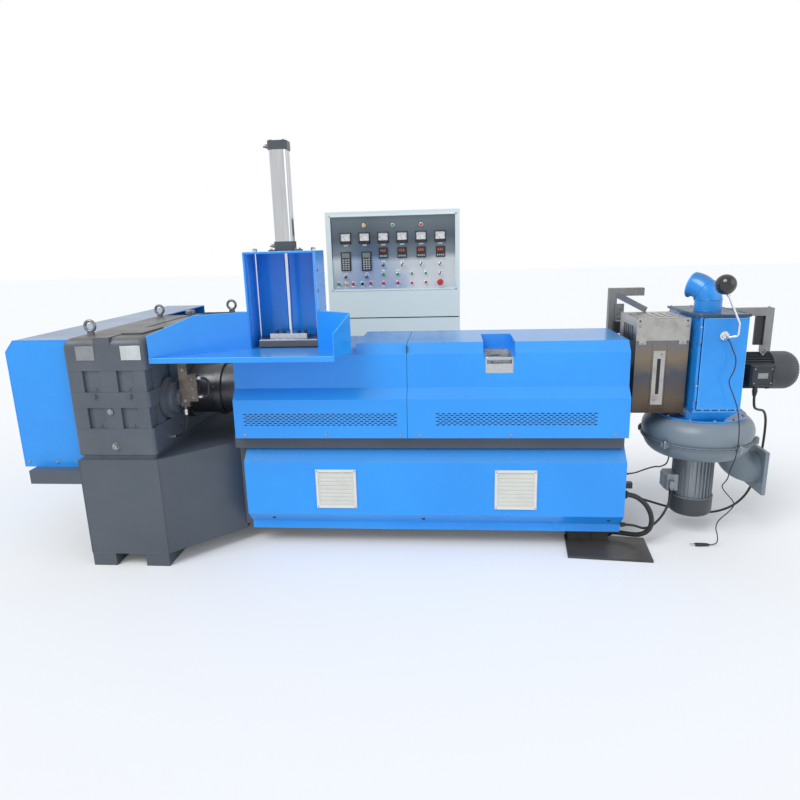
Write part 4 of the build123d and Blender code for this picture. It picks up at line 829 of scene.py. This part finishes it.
# Paler blue rods round the door: painted highlights on its edges.
edge_highlight = painted("door_edge_highlight", (0.2, 0.52, 0.88), (0.1, 0.4, 0.85), scale=24, rough=0.26)
rods("door_edge_highlights", upright + level, edge_highlight, "door", sides=8)
slabs("door_stop_flange", [(x0, x1, -916.5, -912, z0, z1) for x0, x1, z0, z1 in (
    (1331, 1342.5, 703, 1138), (1542, 1543.5, 703, 1138), (1342.5, 1542, 703, 705.5),
    (1342.5, 1542, 1135.5, 1138))], chamber_blue, bevel=0.4)
HINGE_X, HINGE_Y = 1334, -925
rods("door_hinge_pins", [bar for z in (787, 1060) for bar in (
    ((HINGE_X, HINGE_Y, z + 34), (HINGE_X, HINGE_Y, z + 39), 7.4, 5),
    ((HINGE_X, HINGE_Y, z - 39), (HINGE_X, HINGE_Y, z - 34), 5, 7.4))], zinc)
flange_bolts = [(x, -923, 702.5) for x in (1335, 1372, 1409, 1446, 1483, 1520, 1537)]
flange_bolts += [(1542.6, y, 702.5) for y in (-880, -800, -640, -540)]
bolt_heads("chute_flange_bolts", flange_bolts, UP, zinc, across=4.5, height=5)
slabs("lid_folded_rim", [(x0, x1, y0, y1, 1137, 1149) for x0, x1, y0, y1 in (
    (1322, 1550, -918.5, -916), (1549, 1551.5, -917, -487), (1320.5, 1323, -917, -487))],
    lid_painted_shade, bevel=0.6)
bolt_heads(
    "lid_screws", [(x, y, 1147) for x in (1336, 1436, 1536) for y in (-903, -500)], UP, zinc, across=5,
    height=4, sides=16)
dress(milled_steel, "cutter_head")


# Air elbow: a rolled and welded duct that stands on the lid and leads air off. Blue gloss paint
# with welds between its segments and a beaded mouth.
dress(chamber_blue, "lid_elbow")


def ring_bead(name, middle, way, radius, wire, finish):
    """A round bead or clamp about a duct; millimetres."""
    shape = bmesh.new()
    turn = Vector(way).to_track_quat("Z", "Y").to_matrix().to_4x4()
    at = Matrix.Translation(Vector(middle) / 1000) @ turn
    rounds, thick = 48, 8
    grid = []
    for i in range(rounds):
        a = 2 * math.pi * i / rounds
        loop = []
        for j in range(thick):
            b = 2 * math.pi * j / thick
            r = (radius + wire * math.cos(b)) / 1000
            spot = Vector((r * math.cos(a), r * math.sin(a), wire * math.sin(b) / 1000))
            loop.append(shape.verts.new(at @ spot))
        grid.append(loop)
    for i in range(rounds):
        for j in range(thick):
            k, m = (i + 1) % rounds, (j + 1) % thick
            shape.faces.new((grid[i][j], grid[k][j], grid[k][m], grid[i][m]))
    return piece(name, shape, finish)


DUCT_X = 1436
for weld, middle, way in (("elbow_weld_low", (DUCT_X, BARREL_Y, 1200), UP),
                          ("elbow_weld_high", (1420, -694, 1240), (-0.55, 0.55, 0.62)),
                          ("elbow_foot_bead", (DUCT_X, BARREL_Y, 1148), UP)):
    ring_bead(weld, middle, way, 62, 2.2, chamber_blue)
# The mouth bead takes the paler blue: a painted highlight round the mouth.
ring_bead("elbow_mouth_bead", (1377, -651, 1265.5), (-0.68, 0.68, 0.27), 61, 3.2, highlight_blue)


# Work lamp: a ball head on a bent neck that turns in a hub on the door. Spun and lacquered
# black ball, chromed neck with a collar, turned hub; its cord hangs down to the plug.
gloss_black = painted(
    "gloss_black_lacquer", (0.012, 0.012, 0.014), (0.02, 0.02, 0.022), scale=10, rough=0.09, spread=0.06,
    specks=0.05, coat=0.6, peel=200, bump=0.01)
chrome = brushed(
    "bright_chrome", (0.84, 0.85, 0.86), (0.5, 0.51, 0.52), (90, 90, 90), amount=0.2, smear=0.2, rough=0.07,
    spread=0.1)
dress(gloss_black, "lamp_head")
dress(chrome, "lamp_neck")
rods(
    "lamp_joints", [((1434, -937, 1055), (1434, -941, 1055), 14, 11),
    ((1415, -987, 1237), (1410.5, -987, 1247), 7, 9)], chrome, "door", bevel=0.5)
lamp_line = cord_curve("lamp_cord_line", [
    (1.444, -0.937, 1.041), (1.444, -0.967, 1.041), (1.458, -0.971, 1.002), (1.48, -0.974, 0.955),
    (1.474, -0.978, 0.9), (1.449, -0.98, 0.854), (1.474, -0.984, 0.8), (1.501, -0.99, 0.73),
    (1.511, -0.997, 0.662), (1.516, -1.0, 0.6), (1.514, -1.001, 0.54), (1.509, -1.0, 0.482),
    (1.494, -0.992, 0.432), (1.494, -0.982, 0.38), (1.471, -0.968, 0.344), (1.506, -0.958, 0.3),
    (1.558, -0.95, 0.246), (1.532, -0.938, 0.194), (1.492, -0.93, 0.15), (1.487, -0.922, 0.104),
    (1.506, -0.912, 0.062), (1.512, -0.907, 0.008), (1.474, -0.907, 0.008),
], 0.005, black_rubber)
PLUG_Y, PLUG_Z, PLUG_SIDES = -907, 8, 20


def squared(turn_share):
    """A circle's share with its sides pressed flatter, as on a moulded grip."""
    return math.copysign(abs(turn_share) ** 0.7, turn_share)


plug_body = bmesh.new()
loops = []
for x, wide, high in ((1474, 4.2, 4.2), (1466, 6.5, 6.5), (1452, 8.2, 7.6), (1430, 9.6, 7.6),
                      (1410, 9.6, 7.6), (1404, 8.6, 7.0)):
    turns = [2 * math.pi * k / PLUG_SIDES for k in range(PLUG_SIDES)]
    loops.append(
        [plug_body.verts.new((x / 1000, (PLUG_Y + wide * squared(math.cos(a))) / 1000,
        (PLUG_Z + high * squared(math.sin(a))) / 1000)) for a in turns])
for first, second in zip(loops, loops[1:]):
    for k in range(PLUG_SIDES):
        after = (k + 1) % PLUG_SIDES
        plug_body.faces.new((first[k], first[after], second[after], second[k]))
plug_body.faces.new(loops[0])
plug_body.faces.new(loops[-1][::-1])
plug = piece("lamp_plug_body", plug_body, black_moulding, "door")
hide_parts("lamp_plug")
prongs = slabs(
    "lamp_plug_pins", [(1380, 1405, y - 1, y + 1, 5, 11) for y in (-912.5, -901.5)], chrome, "door",
    bevel=0.4)
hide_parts("lamp_cord")
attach(lamp_line, "door")


# Cutter motor: a small ribbed motor flanged to the chamber side with a square terminal box.
# Die-cast and sprayed black-grey; the box lid has a raised frame and four screws.
motor_black = painted(
    "motor_black_grey", (0.033, 0.038, 0.045), (0.02, 0.024, 0.03), (0.075, 0.08, 0.088), 0.5, scale=7,
    rough=0.34, spread=0.2, speck=(0.16, 0.17, 0.18), specks=0.25)
dress(motor_black, "cutter_motor", "cutter_terminal_box")


def four_bars(x0, x1, y0, y1, z0, z1, wide):
    """The blocks of an upright frame: its top, foot, left and right bars."""
    return [(x0, x1, y0, y1, z1 - wide, z1), (x0, x1, y0, y1, z0, z0 + wide),
            (x0, x0 + wide, y0, y1, z0, z1), (x1 - wide, x1, y0, y1, z0, z1)]


slabs("terminal_lid_frame", four_bars(1615, 1713, -848, -845, 802, 893, 5), motor_black, bevel=0.6)
bolt_heads(
    "terminal_lid_screws", [(x, -846, z) for x in (1626, 1702) for z in (813, 882)], FRONT, zinc,
    across=3.8, height=2.6, washer=False, sides=14)
slabs("terminal_blank_label", [(1641, 1687, -846.2, -845, 836, 862)], dull_plate, bevel=0.4)
CUTTER_Z, COVER_END, COVER_DOME, COVER_FLAT_R = 850, 1870, 56, 36


def about_shaft(x, radius, degrees):
    """A spot on a circle about the cutter's shaft."""
    a = math.radians(degrees)
    return x, BARREL_Y + radius * math.cos(a), CUTTER_Z + radius * math.sin(a)


cover_holes = []
for r in range(12, 69, 14):
    dome_x = COVER_END - (COVER_DOME - math.sqrt(COVER_DOME ** 2 - max(r - COVER_FLAT_R, 0) ** 2))
    cover_holes += [(about_shaft(dome_x - 1.4, r, a), about_shaft(dome_x + 0.6, r, a), 2.4)
                    for a in range(0, 360, 12)]
rods("cutter_fan_holes", cover_holes, hollows, sides=6)
ring_bead("fan_cover_seam", (1740, BARREL_Y, CUTTER_Z), RIGHT, 91.5, 1.6, motor_black)
ring_bead("cutter_motor_eye", (1700, -740, 949), BACK, 13, 4, steel_ring)
rods("cutter_motor_eye_stem", [((1700, -740, 925), (1700, -740, 938), 9)], steel_ring)
bolt_heads(
    "cutter_flange_bolts", [about_shaft(1556, 91, a) for a in (45, 135, 225, 315)], RIGHT, zinc, across=6,
    height=7)
cutter_line = cord_curve("cutter_cable_line", [
    (1.644, -0.825, 0.775), (1.644, -0.825, 0.694), (1.694, -0.768, 0.663), (1.754, -0.708, 0.645),
    (1.792, -0.66, 0.588), (1.808, -0.632, 0.5), (1.816, -0.61, 0.4), (1.816, -0.596, 0.3),
    (1.8, -0.586, 0.205), (1.765, -0.58, 0.122), (1.7, -0.578, 0.062), (1.606, -0.578, 0.032),
    (1.5, -0.578, 0.036), (1.372, -0.58, 0.066), (1.24, -0.59, 0.112), (1.13, -0.6, 0.15),
    (1.07, -0.6, 0.16), (0.995, -0.6, 0.16),
], 0.012, black_rubber)
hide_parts("cutter_cable")
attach(cutter_line, "machine")
strain_relief("cutter_gland", (1644, -825, 775), (0, 0, -1), 6, 30, black_moulding)
strain_relief("cutter_gland_base", (995, -600, 160), (1, 0, 0), 6, 28, black_moulding)


# Blower: a snail casing pressed in two halves and clipped together round its seam, with its
# motor hanging below and a square-flanged outlet. Sprayed blue-grey; lugs and bolts bright.
blower_grey = painted(
    "blower_blue_grey", (0.2, 0.25, 0.292), (0.15, 0.192, 0.23), (0.25, 0.3, 0.34), 0.35, scale=4,
    amount=0.5, speck=(0.36, 0.4, 0.43), specks=0.2, rough=0.34, spread=0.18, peel=420, bump=0.05)
dress(blower_grey, "blower_casing", "blower_outlet")
ribbed_grey = brushed(
    "ribbed_motor_grey", (0.36, 0.39, 0.42), (0.1, 0.115, 0.13), (60, 60, 4), amount=0.5, smear=0.4,
    rough=0.36, metallic=0.55)
dress(ribbed_grey, "blower_motor")
SEAM_Z = 520


def about_blower(radius, degrees, z):
    """A spot on a circle about the blower's upright axis."""
    a = math.radians(degrees)
    return Vector((DUCT_X + radius * math.cos(a), BARREL_Y + radius * math.sin(a), z))


lugs = bmesh.new()
for degrees in (-140, -65, -22, 40, 95, 150):
    for half, radius, sides in ((21, 6.5, 6), (15, 12, 16)):
        rod(
            lugs, about_blower(269, degrees, SEAM_Z - half), about_blower(269, degrees, SEAM_Z + half),
            radius, sides=sides)
piece("casing_lug_bolts", lugs, zinc, bevel=0.8)
ring_bead("casing_seam_gasket", (DUCT_X, BARREL_Y, SEAM_Z), UP, 264, 1.6, black_rubber)
bolt_heads(
    "inlet_plate_bolts", [about_blower(204, a, 646) for a in range(0, 360, 30)], UP, zinc, across=7,
    height=6)
bolt_heads(
    "outlet_bolts", [(1764, y, z) for y in (-780, -590) for z in (240, 337, 435)], RIGHT, zinc, across=7,
    height=6)
ring_bead("blower_motor_band", (DUCT_X, BARREL_Y, 205), UP, 103, 2.2, blower_grey)
ring_bead("blower_motor_shield", (DUCT_X, BARREL_Y, 432), UP, 96, 5, blower_grey)
slabs("blower_terminal_lid", [(1285.5, 1288.5, -752, -682, 243, 314)], blower_grey, bevel=0.8)
bolt_heads(
    "blower_terminal_screws", [(1286, y, z) for y in (-747, -687) for z in (249, 308)], LEFT, zinc,
    across=3.6, height=2.4, washer=False, sides=14)


# Control cabinet: a folded sheet housing with a seam above its lower door and a recessed panel.
# Mint white lacquer; polished stainless panel; plinth and vents at the foot.
cabinet_white = painted(
    "mint_white_lacquer", (0.77, 0.865, 0.85), (0.7, 0.8, 0.79), (0.85, 0.9, 0.89), 0.4, scale=1.4,
    amount=0.5, speck=(0.6, 0.66, 0.65), specks=0.06, rough=0.3, spread=0.12, peel=500, bump=0.02,
    coat=0.15)
dress(cabinet_white, "control_cabinet")


# Pale at the foot and dark above on the polished stainless: a painted reflection in its colour.
panel_painted_reflection = banded_sheet(
    "panel_sheet_painted_reflection",
    ((0.0, (0.74, 0.77, 0.78)), (0.40, (0.66, 0.7, 0.72)), (0.47, (0.24, 0.29, 0.33)),
     (0.7, (0.11, 0.14, 0.17)), (1.0, (0.2, 0.235, 0.26))),
    metallic=0.6, heights=(1.168, 1.694), shares=(-0.08, 0.92), sway=0.16, noise=(4.0, 2.0, 0.4),
    gloss=(0.12, 0.22))
dress(panel_painted_reflection, "instrument_panel")
slabs(
    "cabinet_seams_and_vents", [(-700, 255, 794.6, 800.6, 959, 965)]
    + [(x0, x1, 880, 1100, 180 + k * 22, 188 + k * 22) for k in range(9)
    for x0, x1 in ((262.6, 264), (-709, -707.6))], hollows)
slabs("panel_opening_trim", four_bars(-680, 241, 792, 797, 1162, 1700, 10), cabinet_white, bevel=1.2)
lock = bmesh.new()
rod(lock, (215, 795, 560), (215, 787, 560), 13)
slab(lock, 211, 219, 782, 788, 545, 600)
piece("cabinet_lock", lock, chrome, bevel=0.8)


# Instruments: square panel meters, temperature controllers, keypads, selector knobs, push
# buttons and pilot lights. Moulded plastic bezels with clear or coloured faces, snapped in.
white_dial = painted("dial_white", (0.82, 0.83, 0.8), (0.76, 0.77, 0.74), scale=12, rough=0.35, specks=0.0)
ink = painted("dial_ink", (0.03, 0.03, 0.03), (0.05, 0.05, 0.05), scale=30, rough=0.5)
needle_red = painted("needle_red", (0.6, 0.03, 0.02), (0.5, 0.02, 0.02), scale=30, rough=0.4)
METER_X, FACE_Y = (-566, -428, -290, -153, -15, 123), 811
bezels, dials, marks, needles = bmesh.new(), bmesh.new(), bmesh.new(), bmesh.new()
for x in METER_X:
    for x0, x1, z0, z1 in ((x - 40, x + 40, 1574, 1581), (x - 40, x + 40, 1501, 1522),
                           (x - 40, x - 34, 1501, 1581), (x + 34, x + 40, 1501, 1581)):
        slab(bezels, x0, x1, 799, FACE_Y, z0, z1)
    slab(dials, x - 36, x + 36, 804, FACE_Y, 1518, 1578)
    for k in range(11):
        a = math.radians(145 - k * 11)
        tip = Vector((x + 40 * math.cos(a), 803.4, 1524 + 40 * math.sin(a)))
        way = Vector((math.cos(a), 0, math.sin(a)))
        rod(marks, tip - way * (8 if k % 5 == 0 else 5), tip, 0.8, sides=4)
    a = math.radians(142 - (x % 37))
    rod(needles, (x, 803, 1524), (x + 38 * math.cos(a), 803, 1524 + 38 * math.sin(a)), 0.9, sides=4)
meter_frames = piece("meter_bezels", bezels, black_moulding, bevel=1.0)
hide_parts("panel_instruments")
piece("meter_dials", dials, white_dial)
piece("meter_scales", marks, ink)
piece("meter_needles", needles, needle_red)
controllers, screens, digits, keys = bmesh.new(), bmesh.new(), bmesh.new(), bmesh.new()
for x in (-291, -154, -15, 125):
    slab(controllers, x - 34, x + 34, 799, FACE_Y, 1394, 1473)
    slab(screens, x - 26, x + 26, 797.6, 799.4, 1433, 1464)
    for k in range(3):
        slab(digits, x - 20 + k * 14, x - 11 + k * 14, 797, 798, 1440, 1457)
    for k in range(4):
        slab(keys, x - 26 + k * 14, x - 16 + k * 14, 797.4, 799.4, 1404, 1416)
piece("controller_bodies", controllers, black_moulding, bevel=1.5)
piece("controller_screens", screens,
      painted("dark_screen", (0.03, 0.045, 0.05), (0.02, 0.03, 0.035), rough=0.12))
piece("controller_figures", digits,
      painted("lit_figures", (0.65, 0.09, 0.05), (0.55, 0.06, 0.04), rough=0.4))
grey_key = painted("grey_keys", (0.45, 0.47, 0.48), (0.36, 0.38, 0.39), scale=30, rough=0.4)
pads, pad_screens = bmesh.new(), bmesh.new()
for x in (-568, -416):
    slab(pads, x - 37, x + 37, 797, FACE_Y, 1308, 1446)
    slab(pad_screens, x - 28, x + 28, 795.8, 797.4, 1402, 1436)
    for row in range(5):
        for k in range(3):
            slab(keys, x - 26 + k * 19, x - 12 + k * 19, 795, 797.4, 1318 + row * 16, 1328 + row * 16)
    rod(keys, (x + 20, 797, 1390), (x + 20, 793, 1390), 6)
piece("inverter_keypads", pads, black_moulding, bevel=2.0)
piece("keypad_screens", pad_screens,
      painted("green_grey_screen", (0.2, 0.26, 0.22), (0.15, 0.2, 0.17), rough=0.16))
piece("panel_keys", keys, grey_key, bevel=0.8)
knobs, grips, lines = bmesh.new(), bmesh.new(), bmesh.new()
UPPER_KNOBS = ((-294, 1347), (-154, 1349), (-16, 1349), (122, 1347), (122, 1280))
LOWER_KNOBS = ((-574, 1267), (-420, 1266))
GREEN_ROW = ((-294, 1279), (-189, 1280), (-86, 1281), (17, 1281))
for x, z in UPPER_KNOBS + LOWER_KNOBS:
    rod(knobs, (x, FACE_Y, z), (x, 803, z), 16, 14.5)
    slab(grips, x - 4.5, x + 4.5, 787.5, 803, z - 13, z + 13, Matrix.Rotation(0.5, 4, "Y"))
    slab(lines, x - 0.9, x + 0.9, 786.8, 788, z - 1, z + 12, Matrix.Rotation(0.5, 4, "Y"))
piece("selector_rings", knobs, chrome, bevel=0.6)
piece("selector_grips", grips, black_moulding, bevel=1.5)
piece("selector_lines", lines, white_dial)
colours = {
    "green": ((0.02, 0.36, 0.1), GREEN_ROW + ((-629, 1216), (-218, 1626))),
    "black": ((0.03, 0.03, 0.035), ((-453, 1214),)),
    "amber": ((0.85, 0.5, 0.03), ((-574, 1215), (-428, 1628))),
    "red": ((0.66, 0.02, 0.02), ((-522, 1216), (-391, 1217), (-296, 1216), (-190, 1216), (-87, 1214),
                                 (16, 1216), (-14, 1625))),
}
collars = bmesh.new()
for word, (colour, places) in colours.items():
    caps = bmesh.new()
    for x, z in places:
        rod(collars, (x, FACE_Y, z), (x, 804, z), 15.5, 14)
        rod(caps, (x, 804, z), (x, 797, z), 11, 10)
    cap_paint = painted(
        word + "_cap_plastic", colour, tuple(c * 0.7 for c in colour), scale=40, rough=0.22, coat=0.3,
        specks=0.0)
    piece(word + "_push_buttons", caps, cap_paint, bevel=1.2)
    if word == "red":
        stop = bmesh.new()
        rod(stop, (121, FACE_Y, 1215), (121, 793, 1215), 13)
        rod(stop, (121, 793, 1215), (121, 779, 1215), 24, 21, sides=32)
        piece("emergency_stop", stop, cap_paint, bevel=2.5)
piece("button_collars", collars, chrome, bevel=0.8)
tags = [(x - 16, x + 16, 1486, 1496) for x in METER_X]
tags += [(x - 13, x + 13, z + 22, z + 31) for x, z in UPPER_KNOBS + GREEN_ROW + LOWER_KNOBS]
tags += [(x - 13, x + 13, 1190, 1198) for x in (-629, -574, -522, -453, -391, -296, -190, -87, 16)]
slabs("bare_tags", [(x0, x1, FACE_Y - 1, FACE_Y + 0.8, z0, z1) for x0, x1, z0, z1 in tags], white_dial)
